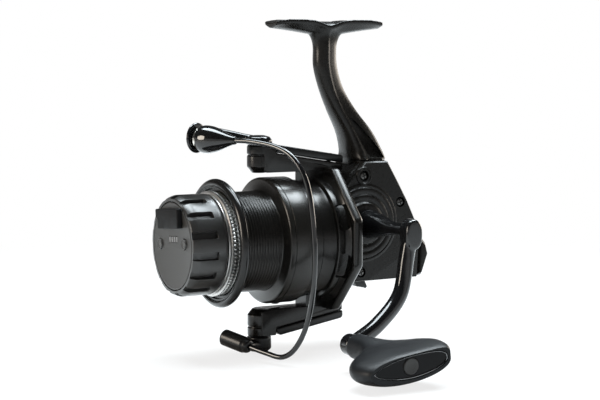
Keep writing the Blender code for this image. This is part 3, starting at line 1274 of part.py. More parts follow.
def make_knob(spring_seat):
    """The drag knob: grip, face with its controls, electronics, nut and pressure spring."""
    chamfer_radius = KNOB_RADIUS - 1.4
    ledge = FACE_REAR + GAP
    cavity = KNOB_RADIUS - KNOB_WALL
    cavity_rear = KNOB_REAR - KNOB_REAR_WALL
    profile = [
        (NUT_RADIUS + GAP, KNOB_REAR),
        (KNOB_RADIUS - 0.9, KNOB_REAR),
        (KNOB_RADIUS, KNOB_REAR - 0.9),
        (KNOB_RADIUS, KNOB_FRONT + KNOB_CHAMFER),
        (chamfer_radius, KNOB_FRONT),
        (FACE_RADIUS + GAP, KNOB_FRONT),
        (FACE_RADIUS + GAP, ledge),
        (cavity, ledge),
        (cavity, cavity_rear),
        (NUT_RADIUS + GAP, cavity_rear),
    ]
    shell = turned("knob_shell", profile, SPOOL_LINE, SATIN, knob_axis, steps=30)
    bm = bmesh.new()
    slot_front = KNOB_FRONT - 1
    slot_rear = KNOB_REAR - 5.0
    for index in range(KNOB_SLOTS):
        angle = 2 * pi * (index + 0.5) / KNOB_SLOTS + KNOB_ROLL
        outward = Vector((cos(angle), 0, sin(angle)))
        sideways = Vector((-sin(angle), 0, cos(angle)))
        corners = []
        for depth in (KNOB_RADIUS - KNOB_SLOT_DEPTH, KNOB_RADIUS + 1):
            for y, side in ((slot_front, -1), (slot_front, 1), (slot_rear, 1), (slot_rear, -1)):
                spot = AXIS_POINT + outward * depth + sideways * (side * KNOB_SLOT_WIDTH / 2) + FORE * y
                corners.append(bm.verts.new(spot))
        for ring in ((0, 1, 2, 3), (4, 5, 6, 7), (0, 1, 5, 4), (1, 2, 6, 5), (2, 3, 7, 6), (3, 0, 4, 7)):
            bm.faces.new([corners[spot] for spot in ring])
    cut(shell, piece(bm, "grip_slots", None))

    face = rod("knob_face", FACE_RADIUS, KNOB_FRONT, FACE_REAR, SPOOL_LINE, PANEL, knob_axis, steps=28)
    for side, sign in (("left", -1), ("right", 1)):
        spot = face_spot(BUTTON_REACH * sign, 1.0)
        line = (spot, FORE)
        hole_span = (KNOB_FRONT - 1, FACE_REAR + 1)
        cut(face, rod("button_hole_" + side, BUTTON_RADIUS + GAP, *hole_span, line, None, steps=16))
        empty = joint_empty("button_slide_" + side, spot + FORE * KNOB_FRONT, knob_axis)
        out = KNOB_FRONT - BUTTON_TRAVEL - 0.1
        profile = [
            (0, out),
            (BUTTON_RADIUS - 0.3, out),
            (BUTTON_RADIUS, out + 0.3),
            (BUTTON_RADIUS, FACE_REAR - BUTTON_TRAVEL),
            (0, FACE_REAR - BUTTON_TRAVEL),
        ]
        turned("button_" + side, profile, line, PANEL, empty, steps=16)
    bar_height = 2.7
    bar_pitch = 2.5
    bar_width = 1.0
    bar_middle = 1.2
    bar_rise = 3.2
    light = face_block(
        "level_lights", 3 * bar_pitch + bar_width, bar_height - 1.2, bar_middle, bar_rise, FACE_REAR - 0.6,
        FACE_REAR, BRIGHT, knob_axis,
    )
    seat_width = 3 * bar_pitch + bar_width + 2 * GAP
    seat_height = bar_height - 1.2 + 2 * GAP
    seat_span = (FACE_REAR - 0.6 - GAP, FACE_REAR + 1)
    cut(face, face_block("lights_seat", seat_width, seat_height, bar_middle, bar_rise, *seat_span))
    for index in range(4):
        reach = bar_middle + (index - 1.5) * bar_pitch
        bar_span = (KNOB_FRONT - 0.05, FACE_REAR - 0.2)
        slot_span = (KNOB_FRONT - 1, FACE_REAR + 1)
        slot_size = (bar_width + 2 * GAP, bar_height + 2 * GAP)
        bar = face_block("bar_%d" % index, bar_width, bar_height, reach, bar_rise, *bar_span)
        slot = face_block("bar_slot_%d" % index, *slot_size, reach, bar_rise, *slot_span)
        fuse(light, bar)
        cut(face, slot)

    port_hinge_rise = PORT_RISE + PORT_HEIGHT / 2
    port_empty = joint_empty(
        "port_hinge", face_spot(0, port_hinge_rise) + FORE * (KNOB_FRONT - GAP), knob_axis
    )
    port_rear = KNOB_FRONT - GAP
    port_span = (port_rear - PORT_DEPTH, port_rear)
    port = face_block("port_cover", PORT_WIDTH, PORT_HEIGHT, 0, PORT_RISE, *port_span, SATIN, port_empty)
    step = face_block(
        "port_step", PORT_WIDTH * 0.42, PORT_HEIGHT * 0.8, -PORT_WIDTH * 0.33,
        PORT_RISE - PORT_HEIGHT * 0.35, port_rear - PORT_DEPTH - 1, port_rear - PORT_DEPTH * 0.55,
    )
    cut(port, step)

    board_front = FACE_REAR + GAP
    rod("circuit_board", BOARD_RADIUS, board_front, BOARD_REAR, SPOOL_LINE, BOARD, knob_axis, steps=24)
    cell_front = BOARD_REAR + GAP
    cell_span = (cell_front, cell_front + CELL_THICK)
    rod("coin_cell", CELL_RADIUS, *cell_span, SPOOL_LINE, BRIGHT, knob_axis, steps=16)
    nut_rear = KNOB_REAR - 0.1
    nut_front = nut_rear - NUT_LENGTH
    nut_span = (nut_front, nut_rear)
    collar("knob_nut", SHAFT_RADIUS + GAP, NUT_RADIUS, *nut_span, SPOOL_LINE, BRASS, knob_axis, steps=18)
    ring_span = (BRIGHT_REAR - BRIGHT_RING_WIDTH, BRIGHT_REAR)
    ring_bore = NUT_RADIUS + 4
    collar("bright_ring", ring_bore, BRIGHT_RING_RADIUS, *ring_span, SPOOL_LINE, BRIGHT, knob_axis, steps=28)
    knurl_profile = [
        (ring_bore, KNURL_FRONT),
        (KNURL_RADIUS - 0.5, KNURL_FRONT),
        (KNURL_RADIUS, KNURL_FRONT + 0.5),
        (KNURL_RADIUS, KNURL_REAR - 0.5),
        (KNURL_RADIUS - 0.5, KNURL_REAR),
        (ring_bore, KNURL_REAR),
    ]
    turned("knurled_ring", knurl_profile, SPOOL_LINE, BRIGHT, knob_axis, steps=28)

    turns = 5
    steps = 12
    wire = 0.6
    spring_radius = 4.6
    start = spring_seat - wire - GAP
    end = nut_rear + wire + GAP
    path = []
    for index in range(turns * steps + 1):
        angle = 2 * pi * index / steps
        y = start + (end - start) * index / (turns * steps)
        z = spring_radius * sin(angle) - AXIS_DROP
        path.append(Vector((spring_radius * cos(angle), y, z)))
    spring = wire_tube("drag_spring", path, wire, BRIGHT, shaft_slide)
    spring.data.bevel_resolution = 0


def make_handle():
    """The screw-in handle: shank, cranked arm, axle and T-bar grip."""
    collar_start = BOSS_OUTER + GAP
    inner_end = ROOM_LEFT - DRIVE_BEARING_WIDTH + 1
    shank_profile = [
        (0, inner_end),
        (DRIVE_SHAFT_BORE - GAP, inner_end),
        (DRIVE_SHAFT_BORE - GAP, collar_start),
        (COLLAR_RADIUS, collar_start),
        (COLLAR_RADIUS, collar_start + 4),
        (COLLAR_RADIUS * 0.72, collar_start + 14),
        (COLLAR_TIP_RADIUS, collar_start + 26),
        (COLLAR_TIP_RADIUS, SHANK_END),
        (0, SHANK_END),
    ]
    turned("handle_shank", shank_profile, CRANK_LINE, GLOSS, crank_axis, steps=16)
    knuckle_start = SHANK_END + GAP
    knuckle_end = knuckle_start + KNUCKLE_WIDTH
    knuckle_profile = [
        (0, knuckle_start),
        (KNUCKLE_RADIUS - 1.5, knuckle_start),
        (KNUCKLE_RADIUS, knuckle_start + 1.5),
        (KNUCKLE_RADIUS, knuckle_end - 1.5),
        (KNUCKLE_RADIUS - 1.5, knuckle_end),
        (0, knuckle_end),
    ]
    arm = turned("handle_arm", knuckle_profile, CRANK_LINE, GLOSS, crank_axis, steps=16)
    middle_x = (knuckle_start + knuckle_end) / 2
    end_x = middle_x + HANDLE_FLARE
    path = smooth_path(
        [
            at_crank(0, 0, middle_x),
            at_crank(-0.07 * HANDLE_FORWARD, -0.26 * HANDLE_DROP, middle_x + 0.03 * HANDLE_FLARE),
            at_crank(-0.20 * HANDLE_FORWARD, -0.60 * HANDLE_DROP, middle_x + 0.25 * HANDLE_FLARE),
            at_crank(-0.57 * HANDLE_FORWARD, -0.845 * HANDLE_DROP, middle_x + 0.62 * HANDLE_FLARE),
            at_crank(-HANDLE_FORWARD, -HANDLE_DROP, end_x),
        ],
        4,
    )
    section = oval(HANDLE_HALF_WIDTH * 0.92, HANDLE_HALF_WIDTH, 14, 2.8)
    bar = swept("handle_bar", path, section, ACROSS, None)
    eye_half = HANDLE_HALF_WIDTH * 0.95
    eye_profile = [
        (0, end_x - eye_half),
        (KNUCKLE_RADIUS - 2.2, end_x - eye_half),
        (KNUCKLE_RADIUS - 1.0, end_x - eye_half + 1.2),
        (KNUCKLE_RADIUS - 1.0, end_x + eye_half - 0.6),
        (KNUCKLE_RADIUS - 1.6, end_x + eye_half),
        (0, end_x + eye_half),
    ]
    eye = turned("handle_eye", eye_profile, GRIP_LINE, None, steps=16)
    axle_span = (end_x - 1.0, end_x + eye_half + 1)
    axle_hole = rod("axle_hole", AXLE_RADIUS + GAP, *axle_span, GRIP_LINE, None, steps=14)
    fuse(arm, bar, eye)
    cut(arm, axle_hole)

    grip_start = end_x + eye_half + GAP
    axle_end = GRIP_END - 8.0
    rod("grip_axle", AXLE_RADIUS, end_x - 1.0 + GAP, axle_end, GRIP_LINE, BRIGHT, crank_axis, steps=14)
    reach = GRIP_END - grip_start
    sections = [
        (0.0, GRIP_NECK_RADIUS - 0.5, GRIP_NECK_RADIUS - 0.5),
        (0.03, GRIP_NECK_RADIUS, GRIP_NECK_RADIUS),
        (0.25, GRIP_NECK_RADIUS + 0.3, GRIP_NECK_RADIUS),
        (0.40, GRIP_NECK_RADIUS + 3.2, GRIP_NECK_RADIUS + 0.6),
        (0.50, GRIP_HALF_LENGTH * 0.66, GRIP_HALF_HEIGHT * 0.86),
        (0.60, GRIP_HALF_LENGTH * 0.88, GRIP_HALF_HEIGHT * 0.97),
        (0.74, GRIP_HALF_LENGTH, GRIP_HALF_HEIGHT),
        (0.88, GRIP_HALF_LENGTH * 0.98, GRIP_HALF_HEIGHT * 0.94),
        (0.97, GRIP_HALF_LENGTH * 0.93, GRIP_HALF_HEIGHT * 0.86),
        (1.0, GRIP_HALF_LENGTH * 0.89, GRIP_HALF_HEIGHT * 0.79),
    ]
    rings = []
    for share, length, height in sections:
        ring = []
        for a, b in oval(length, height, 20, 2.2):
            sag = GRIP_SAG * min(max((share - 0.25) / 0.3, 0), 1)
            y = a * cos(GRIP_TILT) - b * sin(GRIP_TILT)
            z = a * sin(GRIP_TILT) + b * cos(GRIP_TILT) - sag
            ring.append(Vector((grip_start + share * reach, GRIP_POINT.y + y, GRIP_POINT.z + z)))
        rings.append(ring)
    grip = lofted("handle_grip", rings, RUBBER, grip_axis)
    plate_length = GRIP_HALF_LENGTH * 0.78
    plate_height = GRIP_HALF_HEIGHT * 0.63
    plate_depth = 1.6
    plate_floor = GRIP_END - plate_depth

    def plate_rings(margin, start, end):
        made = []
        for x in (start, end):
            ring = []
            for a, b in oval(plate_length + margin, plate_height + margin, 20, 1.7):
                y = a * cos(GRIP_TILT) - b * sin(GRIP_TILT)
                z = a * sin(GRIP_TILT) + b * cos(GRIP_TILT) - GRIP_SAG * 0.5
                ring.append(Vector((x, GRIP_POINT.y + y, GRIP_POINT.z + z)))
            made.append(ring)
        return made

    bore = rod("grip_bore", AXLE_RADIUS + GAP, grip_start - 1, axle_end + GAP, GRIP_LINE, None, steps=14)
    pocket = lofted("inset_pocket", plate_rings(GAP, plate_floor - GAP, GRIP_END + 1), None)
    cut(grip, bore, pocket)
    disc_radius = plate_height - 1.3
    inset_plate = lofted("grip_inset", plate_rings(0, plate_floor, GRIP_END - 0.4), GLOSS, grip_axis)
    disc_floor = GRIP_END - 1.2
    seat_span = (disc_floor - GAP, GRIP_END + 1)
    cut(inset_plate, rod("disc_seat", disc_radius + GAP, *seat_span, GRIP_LINE, None, steps=16))
    disc_profile = [
        (0, disc_floor),
        (disc_radius, disc_floor),
        (disc_radius, GRIP_END - 0.5),
        (disc_radius - 0.5, GRIP_END),
        (0, GRIP_END),
    ]
    turned("grip_disc", disc_profile, GRIP_LINE, PANEL, grip_axis, steps=16)


make_body()
make_cover()
make_tail()
make_bearings()
make_anti_reverse_lever()
make_pinion()
make_drive_gear()
make_oscillation()
make_rotor_fittings(make_rotor())
make_bail()
make_shaft()
make_knob(make_spool())
make_handle()
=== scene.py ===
from math import cos, exp, floor, hypot, pi, radians, sin, sqrt

import bmesh
import bpy
from mathutils import Matrix, Vector


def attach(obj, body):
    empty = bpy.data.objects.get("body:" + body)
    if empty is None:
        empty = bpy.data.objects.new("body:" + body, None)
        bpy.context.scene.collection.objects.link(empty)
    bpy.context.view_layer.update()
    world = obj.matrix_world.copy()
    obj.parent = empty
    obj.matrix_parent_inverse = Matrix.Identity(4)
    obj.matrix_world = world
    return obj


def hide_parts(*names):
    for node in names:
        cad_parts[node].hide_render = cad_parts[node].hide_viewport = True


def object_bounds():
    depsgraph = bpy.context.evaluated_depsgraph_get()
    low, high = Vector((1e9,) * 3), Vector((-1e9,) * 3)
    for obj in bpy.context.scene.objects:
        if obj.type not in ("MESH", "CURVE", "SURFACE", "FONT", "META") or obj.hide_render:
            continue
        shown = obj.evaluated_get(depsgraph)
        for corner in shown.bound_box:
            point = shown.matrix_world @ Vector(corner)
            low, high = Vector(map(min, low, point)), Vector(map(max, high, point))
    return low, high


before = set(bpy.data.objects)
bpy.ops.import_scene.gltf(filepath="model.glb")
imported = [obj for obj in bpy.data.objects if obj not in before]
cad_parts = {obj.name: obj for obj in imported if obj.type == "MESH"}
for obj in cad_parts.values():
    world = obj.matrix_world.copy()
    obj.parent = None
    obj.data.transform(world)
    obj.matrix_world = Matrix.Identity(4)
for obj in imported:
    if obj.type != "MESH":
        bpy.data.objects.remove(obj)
cad_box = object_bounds()

# The housing is one light-alloy casting: rod foot, leg and gear case in a single piece.
# It is sprayed a matt warm black, and the grain of the mould shows through the paint.
MM = 0.001
SPOOL_Z = -107.0
FOOT_FRONT, FOOT_REAR, FOOT_ROUND, FOOT_HALF_WIDTH, FOOT_DROOP = -30.5, 31.0, 22.5, 7.0, 1.1
FOOT_EDGE, FOOT_DIP, DIP_LENGTH, TIP_DEPTH, KEEL_DEPTH = 0.9, 2.8, 6.2, 3.4, 4.2
LEG_STATIONS = [
    (-4.0, 0.3, 11.5, 6.2, -0.02),
    (-6.5, 0.3, 8.8, 5.1, -0.05),
    (-9.0, 0.3, 7.2, 4.9, -0.10),
    (-13.0, 0.3, 6.2, 5.2, -0.14),
    (-22.0, 0.6, 6.3, 5.4, -0.18),
    (-33.0, 4.0, 6.5, 5.5, -0.29),
    (-44.0, 10.0, 7.5, 6.4, -0.42),
    (-55.0, 17.5, 9.0, 8.0, -0.55),
    (-64.0, 21.6, 9.9, 10.6, -0.56),
    (-68.6, 22.7, 10.3, 13.3, -0.59),
]
LEG_FLANK = [
    (0.93, 0.90, 0.10), (0.88, 0.78, 0.35), (0.83, 0.63, 0.62), (0.72, 0.47, 0.82), (0.50, 0.30, 0.94),
    (0.22, 0.12, 0.99),
]
LEG_ROOT = [(-64.0, 21.6, 9.6, 9.0), (-72.0, 23.2, 10.2, 10.8), (-80.0, 23.4, 10.0, 10.4)]
LEG_POCKET = [
    (-48.0, 11.3, 12.6, 4.7), (-54.0, 14.2, 19.0, 4.8), (-60.0, 16.9, 24.6, 5.5), (-65.5, 19.3, 28.4, 7.0),
    (-67.6, 21.0, 29.4, 8.2),
]
CASE_FLOOR = -22.0
CASE_OUTLINE = [
    (3.0, -18.0), (7.0, CASE_FLOOR), (47.0, CASE_FLOOR), (47.0, 3.0), (40.0, 17.5),
    (34.0, 28.0), (28.0, 38.0), (15.0, 38.0), (9.2, 32.0), (3.0, 25.0),
]
CASE_LEFT, CASE_SPLIT = -15.0, 11.0
CRANK_POINT = Vector((0, 13.4, 7.5 + SPOOL_Z))
SPOOL_POINT = Vector((0, 0, SPOOL_Z))
WORM_POINT = Vector((-3.0, 0, SPOOL_Z - 9.2))
LEVER_Y = 19.0
FORE, ACROSS, UP = Vector((0, 1, 0)), Vector((1, 0, 0)), Vector((0, 0, 1))
ON_AXIS, FIRST_STEP = 0.001, 0.38


class Signal:
    """A shader socket that takes part in sums as a number does."""

    def __init__(self, nodes, socket):
        self.nodes = nodes
        self.socket = socket

    def sum(self, operation, first, second):
        return self.nodes.add("ShaderNodeMath", {"operation": operation}, {0: first, 1: second})

    def __add__(self, other):
        return self.sum("ADD", self, other)

    def __sub__(self, other):
        return self.sum("SUBTRACT", self, other)

    def __rsub__(self, other):
        return self.sum("SUBTRACT", other, self)

    def __mul__(self, other):
        return self.sum("MULTIPLY", self, other)

    def __gt__(self, other):
        return self.sum("GREATER_THAN", self, other)

    __radd__ = __add__
    __rmul__ = __mul__


class Nodes:
    """A node tree that is filled by type, settings and sockets."""

    def __init__(self, tree):
        self.tree = tree

    def add(self, kind, settings, sockets, output=0):
        node = self.tree.nodes.new(kind)
        for key, value in settings.items():
            setattr(node, key, value)
        for key, value in sockets.items():
            self.feed(node.inputs[key], value)
        return Signal(self, node.outputs[output])

    def feed(self, socket, value):
        if isinstance(value, Signal):
            self.tree.links.new(value.socket, socket)
        else:
            socket.default_value = value


class Finish(Nodes):
    """A material built round one shader, with its constants on the shader's own sockets."""

    def __init__(self, name, **constants):
        self.material = bpy.data.materials.new(name)
        self.material.use_nodes = True
        super().__init__(self.material.node_tree)
        self.shader = self.tree.nodes["Principled BSDF"]
        for socket, value in constants.items():
            self.shader.inputs[socket.replace("_", " ")].default_value = value
        self.place = self.add("ShaderNodeTexCoord", {}, {}, "Object")

    def noise(self, scale, detail=2.0, place=None):
        sockets = {"Vector": place or self.place, "Scale": scale, "Detail": detail}
        return self.add("ShaderNodeTexNoise", {}, sockets)

    def blend(self, factor, first, second):
        sockets = {0: factor, 6: (*first, 1), 7: (*second, 1)}
        return self.add("ShaderNodeMix", {"data_type": "RGBA"}, sockets, 2)

    def bump(self, height, strength, depth):
        sockets = {"Height": height, "Strength": strength, "Distance": depth}
        return self.add("ShaderNodeBump", {}, sockets)

    def shade(self, **sockets):
        for socket, value in sockets.items():
            self.feed(self.shader.inputs[socket.replace("_", " ")], value)
        return self.material


def matt_paint(name, dark, light):
    """Sprayed matt paint over a cast grain, rubbed a little smoother in patches."""
    finish = Finish(name, Specular_IOR_Level=0.17)
    cloud = finish.noise(70, 4.0)
    grain = finish.noise(1100, 3.0)
    speck = finish.noise(500, 2.0)
    shade = 0.55 * cloud + 0.45 * speck
    return finish.shade(
        Base_Color=finish.blend(shade, dark, light),
        Roughness=0.20 + 0.10 * cloud + 0.05 * speck,
        Normal=finish.bump(grain, 0.03, 0.0001),
    )


def lay(point, direction):
    """The matrix that lays local Z along a direction from a point."""
    return Matrix.Translation(point) @ direction.to_track_quat("Z", "Y").to_matrix().to_4x4()


def flowing(points, parts):
    """Samples a smooth curve through points."""
    padded = [2 * points[0] - points[1], *points, 2 * points[-1] - points[-2]]
    samples = []
    for before, start, end, after in zip(padded, padded[1:], padded[2:], padded[3:]):
        for part in range(parts):
            t = part / parts
            bend = 2 * start + (end - before) * t
            bend += (2 * before - 5 * start + 4 * end - after) * t ** 2
            bend += (3 * start - before - 3 * end + after) * t ** 3
            samples.append(bend / 2)
    samples.append(points[-1])
    return samples


def oval(half_a, half_b, count, power):
    """Points of a rounded oval, squarer for a higher power."""
    points = []
    for index in range(count):
        a, b = cos(2 * pi * index / count), sin(2 * pi * index / count)
        spread = (abs(a) ** power + abs(b) ** power) ** (-1 / power)
        points.append((half_a * a * spread, half_b * b * spread))
    return points


def inset(outline, distance):
    """Moves each side of a counter-clockwise outline inwards."""
    moved = []
    for index, spot in enumerate(outline):
        here = Vector(spot)
        arriving = (here - Vector(outline[index - 1])).normalized()
        leaving = (Vector(outline[(index + 1) % len(outline)]) - here).normalized()
        first = Vector((-arriving.y, arriving.x))
        second = Vector((-leaving.y, leaving.x))
        moved.append(tuple(here + (first + second) / (1 + first.dot(second)) * distance))
    return moved


def skin(rings):
    """Joins rings of equal point counts into one closed skin."""
    bm = bmesh.new()
    loops = [[bm.verts.new(point) for point in ring] for ring in rings]
    for near, far in zip(loops, loops[1:]):
        for index, corner in enumerate(near):
            after = (index + 1) % len(near)
            bm.faces.new((corner, near[after], far[after], far[index]))
    bm.faces.new(loops[0][::-1])
    bm.faces.new(loops[-1])
    bm.normal_update()
    bmesh.ops.triangulate(bm, faces=[face for face in bm.faces if len(face.verts) > 4])
    return bm


def side_ring(outline, x):
    """Lays (y, rise) points in a plane across X."""
    return [Vector((x, y, rise + SPOOL_Z)) for y, rise in outline]


def slab(outline, left, right):
    """Gives a side view thickness across X."""
    return skin([side_ring(outline, left), side_ring(outline, right)])


def midway(y, rise=0.0):
    """A point in the reel's middle plane, with its rise over the spool axis."""
    return Vector((0, y, rise + SPOOL_Z))


def turn(profile, point, direction, steps):
    """Spins a profile of (radius, distance along) points round a line."""
    bm = bmesh.new()
    matrix = lay(point, direction)
    loops = []
    for radius, along in profile:
        if radius < ON_AXIS:
            loops.append([bm.verts.new(matrix @ Vector((0, 0, along)))] * steps)
            continue
        angles = [2 * pi * (index + FIRST_STEP) / steps for index in range(steps)]
        spots = [Vector((radius * cos(angle), radius * sin(angle), along)) for angle in angles]
        loops.append([bm.verts.new(matrix @ spot) for spot in spots])
    pairs = list(zip(loops, loops[1:]))
    if profile[0][0] > ON_AXIS:
        pairs.append((loops[-1], loops[0]))
    for near, far in pairs:
        for index in range(steps):
            after = (index + 1) % steps
            corners = [near[index], near[after], far[after], far[index]]
            bm.faces.new(list(dict.fromkeys(corners)))
    return bm


def rod(radius, start, end, point, direction, steps):
    """A plain round bar along a line. As a tool it drills a bore."""
    return turn([(0, start), (radius, start), (radius, end), (0, end)], point, direction, steps)


def bare(bm, name):
    """Puts a mesh in millimetres into the scene as an object without a finish."""
    bmesh.ops.recalc_face_normals(bm, faces=bm.faces)
    if bm.calc_volume(signed=True) < 0:
        bmesh.ops.reverse_faces(bm, faces=bm.faces)
    bmesh.ops.scale(bm, verts=bm.verts, vec=(MM, MM, MM))
    mesh = bpy.data.meshes.new(name)
    bm.to_mesh(mesh)
    bm.free()
    made = bpy.data.objects.new(name, mesh)
    bpy.context.collection.objects.link(made)
    return made


def settle(piece):
    """Makes what the modifiers show the piece's own mesh."""
    graph = bpy.context.evaluated_depsgraph_get()
    shaped = bpy.data.meshes.new_from_object(piece.evaluated_get(graph))
    piece.modifiers.clear()
    piece.data = shaped
    return piece


def work(piece, operation, tools):
    """Joins tool meshes to a piece or cuts them out of it, and closes any slit that leaves."""
    for tool in tools:
        helper = bare(tool, "tool")
        step = piece.modifiers.new("step", "BOOLEAN")
        step.operation = operation
        step.object = helper
        step.solver = "EXACT"
        settle(piece)
        bpy.data.objects.remove(helper)
        bm = bmesh.new()
        bm.from_mesh(piece.data)
        slits = [edge for edge in bm.edges if edge.is_boundary]
        if slits:
            bmesh.ops.holes_fill(bm, edges=slits, sides=6)
            bm.to_mesh(piece.data)
        bm.free()


def melt(name, parts, grain, passes, keep):
    """Melts closed skins into one casting whose joins flow together."""
    whole = bmesh.new()
    for part in parts:
        bmesh.ops.recalc_face_normals(part, faces=part.faces)
        mesh = bpy.data.meshes.new("part")
        part.to_mesh(mesh)
        part.free()
        whole.from_mesh(mesh)
        bpy.data.meshes.remove(mesh)
    piece = bare(whole, name)
    join = piece.modifiers.new("join", "REMESH")
    join.mode = "VOXEL"
    join.voxel_size = grain * MM
    ease = piece.modifiers.new("ease", "SMOOTH")
    ease.factor = 0.5
    ease.iterations = passes
    thin = piece.modifiers.new("thin", "DECIMATE")
    thin.ratio = keep
    relax = piece.modifiers.new("relax", "SMOOTH")
    relax.factor = 0.5
    relax.iterations = 3
    return settle(piece)


def dress(piece, finish, body, nodes=(), crease=40):
    """Gives a piece its finish, the body it rides on and the nodes it stands for."""
    piece.data.materials.clear()
    piece.data.materials.append(finish)
    piece.data.shade_smooth()
    piece.data.set_sharp_from_angle(angle=radians(crease))
    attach(piece, body)
    if nodes:
        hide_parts(*nodes)


def foot_ring(y):
    """One cross-section of the foot: a shallow channel on top and a keel below."""
    share = abs(y) / FOOT_REAR
    past = max(0.0, (abs(y) - FOOT_ROUND) / (FOOT_REAR - FOOT_ROUND))
    width = FOOT_HALF_WIDTH * sqrt(1 - 0.35 * past ** 2)
    droop = FOOT_DROOP * past ** 1.5
    edge = FOOT_EDGE - FOOT_DIP * exp(-((y / DIP_LENGTH) ** 2)) - droop
    depth = TIP_DEPTH + KEEL_DEPTH * (1 - share) ** 1.2
    crown = -0.8 * droop
    half = [
        (0.23 * width, crown), (0.6 * width, crown + 0.42 * (edge - crown)), (0.97 * width, edge),
        (width, edge - 0.3), (width, edge - 1.4), (0.95 * width, edge - 1.9), (0.5 * width, -0.85 * depth),
        (0.2 * width, -depth),
    ]
    return [Vector((x, y, z)) for x, z in half + [(-x, z) for x, z in reversed(half)]]


def leg_ring(station):
    """One cross-section of the leg: a round front up to a crease, then a flatter flank."""
    height, middle, length, width, crease = station
    half = []
    for part in range(9):
        angle = pi / 2 * part / 8
        half.append((width * sin(angle), (crease - (crease + 1) * cos(angle)) * length))
    slant = min(1.0, max(0.0, (crease + 0.50) / 0.2))
    for flat, wedge, share in LEG_FLANK:
        half.append(((flat + (wedge - flat) * slant) * width, (crease + (1 - crease) * share) * length))
    outline = half[1:] + [(0, length)] + [(-x, y) for x, y in reversed(half)]
    return [Vector((x, middle + y, height)) for x, y in outline]


def leg_pocket(side):
    """The sunk three-cornered field on a flank of the leg."""
    rings = []
    for height, front, rear, floor_x in LEG_POCKET:
        corners = [(floor_x, front), (20.0, front - 1.2), (20.0, rear + 1.2), (floor_x, rear)]
        rings.append([Vector((side * x, y, height)) for x, y in corners])
    return skin(rings)


foot_stations = [FOOT_FRONT + (FOOT_REAR - FOOT_FRONT) * index / 60 for index in range(61)]
leg_curve = flowing([Vector(station) for station in LEG_STATIONS], 6)
leg_root = [
    [Vector((x, middle + y, height)) for x, y in oval(width, length, 36, 2.6)]
    for height, middle, length, width in LEG_ROOT
]
case_rings = [
    side_ring(inset(CASE_OUTLINE, 4.0), CASE_LEFT),
    side_ring(inset(CASE_OUTLINE, 1.9), CASE_LEFT + 0.8),
    side_ring(inset(CASE_OUTLINE, 0.6), CASE_LEFT + 2.2),
    side_ring(CASE_OUTLINE, CASE_LEFT + 4.0),
    side_ring(CASE_OUTLINE, CASE_SPLIT),
]
nose = turn([(0, -9.0), (23.9, -9.0), (24.5, -8.4), (24.5, 3.7), (0, 3.7)], SPOOL_POINT, FORE, 96)
housing = melt(
    "housing",
    [
        skin([foot_ring(y) for y in foot_stations]),
        skin([leg_ring(station) for station in leg_curve]),
        skin(leg_root),
        skin(case_rings),
        nose,
    ],
    0.42, 7, 0.6,
)
work(housing, "DIFFERENCE", [leg_pocket(1), leg_pocket(-1)])
inner_outline = inset(CASE_OUTLINE, 2.8)
cover_relief = [(2.7, -26.0), (9.0, -26.0), (9.0, 26.0), (2.7, 26.0)]
passage = [(2.0, -13.0), (6.8, -13.0), (6.8, 13.6), (2.0, 13.6)]
work(housing, "DIFFERENCE", [
    slab(cover_relief, CASE_SPLIT + 0.1, 26.0),
    slab(inner_outline, -9.5, 13.0),
    rod(16.6, -6.0, 2.2, SPOOL_POINT, FORE, 64),
    slab(passage, -8.5, 3.7),
    rod(21.0, 2.7, 14.0, CRANK_POINT, ACROSS, 72),
    rod(9.0, -10.0, -5.0, SPOOL_POINT, FORE, 48),
    rod(8.3, -16.0, -8.5, CRANK_POINT, ACROSS, 48),
    rod(2.5, CASE_FLOOR - 1.0, CASE_FLOOR + 3.8, midway(LEVER_Y), UP, 32),
    rod(2.9, 43.0, 46.1, WORM_POINT, FORE, 32),
])
casting = matt_paint("matt_casting_paint", (0.0038, 0.0034, 0.0029), (0.0090, 0.0081, 0.0070))
dress(housing, casting, "frame", ["body_housing"])

# The side cover closes the gear room on the handle side. It is cast in the same alloy and paint,
# with raised rings round the handle bearing and a sloping flat along its lower rear edge.
COVER_INNER, COVER_OUTER = 11.3, 15.3
COVER_SCREWS = [("upper", midway(14.0, 30.9)), ("lower", midway(12.5, -17.2)), ("rear", midway(35.5, 17.0))]
SLOPE_ENDS = [((8.0, -25.6), (18.0, -45.0)), ((62.0, 2.9), (72.0, -16.0))]


def eased(outline, ease, parts=3, turned=True):
    """Rounds the corners of an outline. Points on the axis of a turned profile stay."""
    points = []
    for index, spot in enumerate(outline):
        here = Vector(spot)
        before = Vector(outline[index - 1])
        after = Vector(outline[(index + 1) % len(outline)])
        if turned and here.x < ON_AXIS:
            points.append(tuple(here))
            continue
        start = here + (before - here).normalized() * min(ease, 0.45 * (before - here).length)
        end = here + (after - here).normalized() * min(ease, 0.45 * (after - here).length)
        for part in range(parts + 1):
            t = part / parts
            points.append(tuple(start * (1 - t) ** 2 + here * 2 * t * (1 - t) + end * t ** 2))
    return points


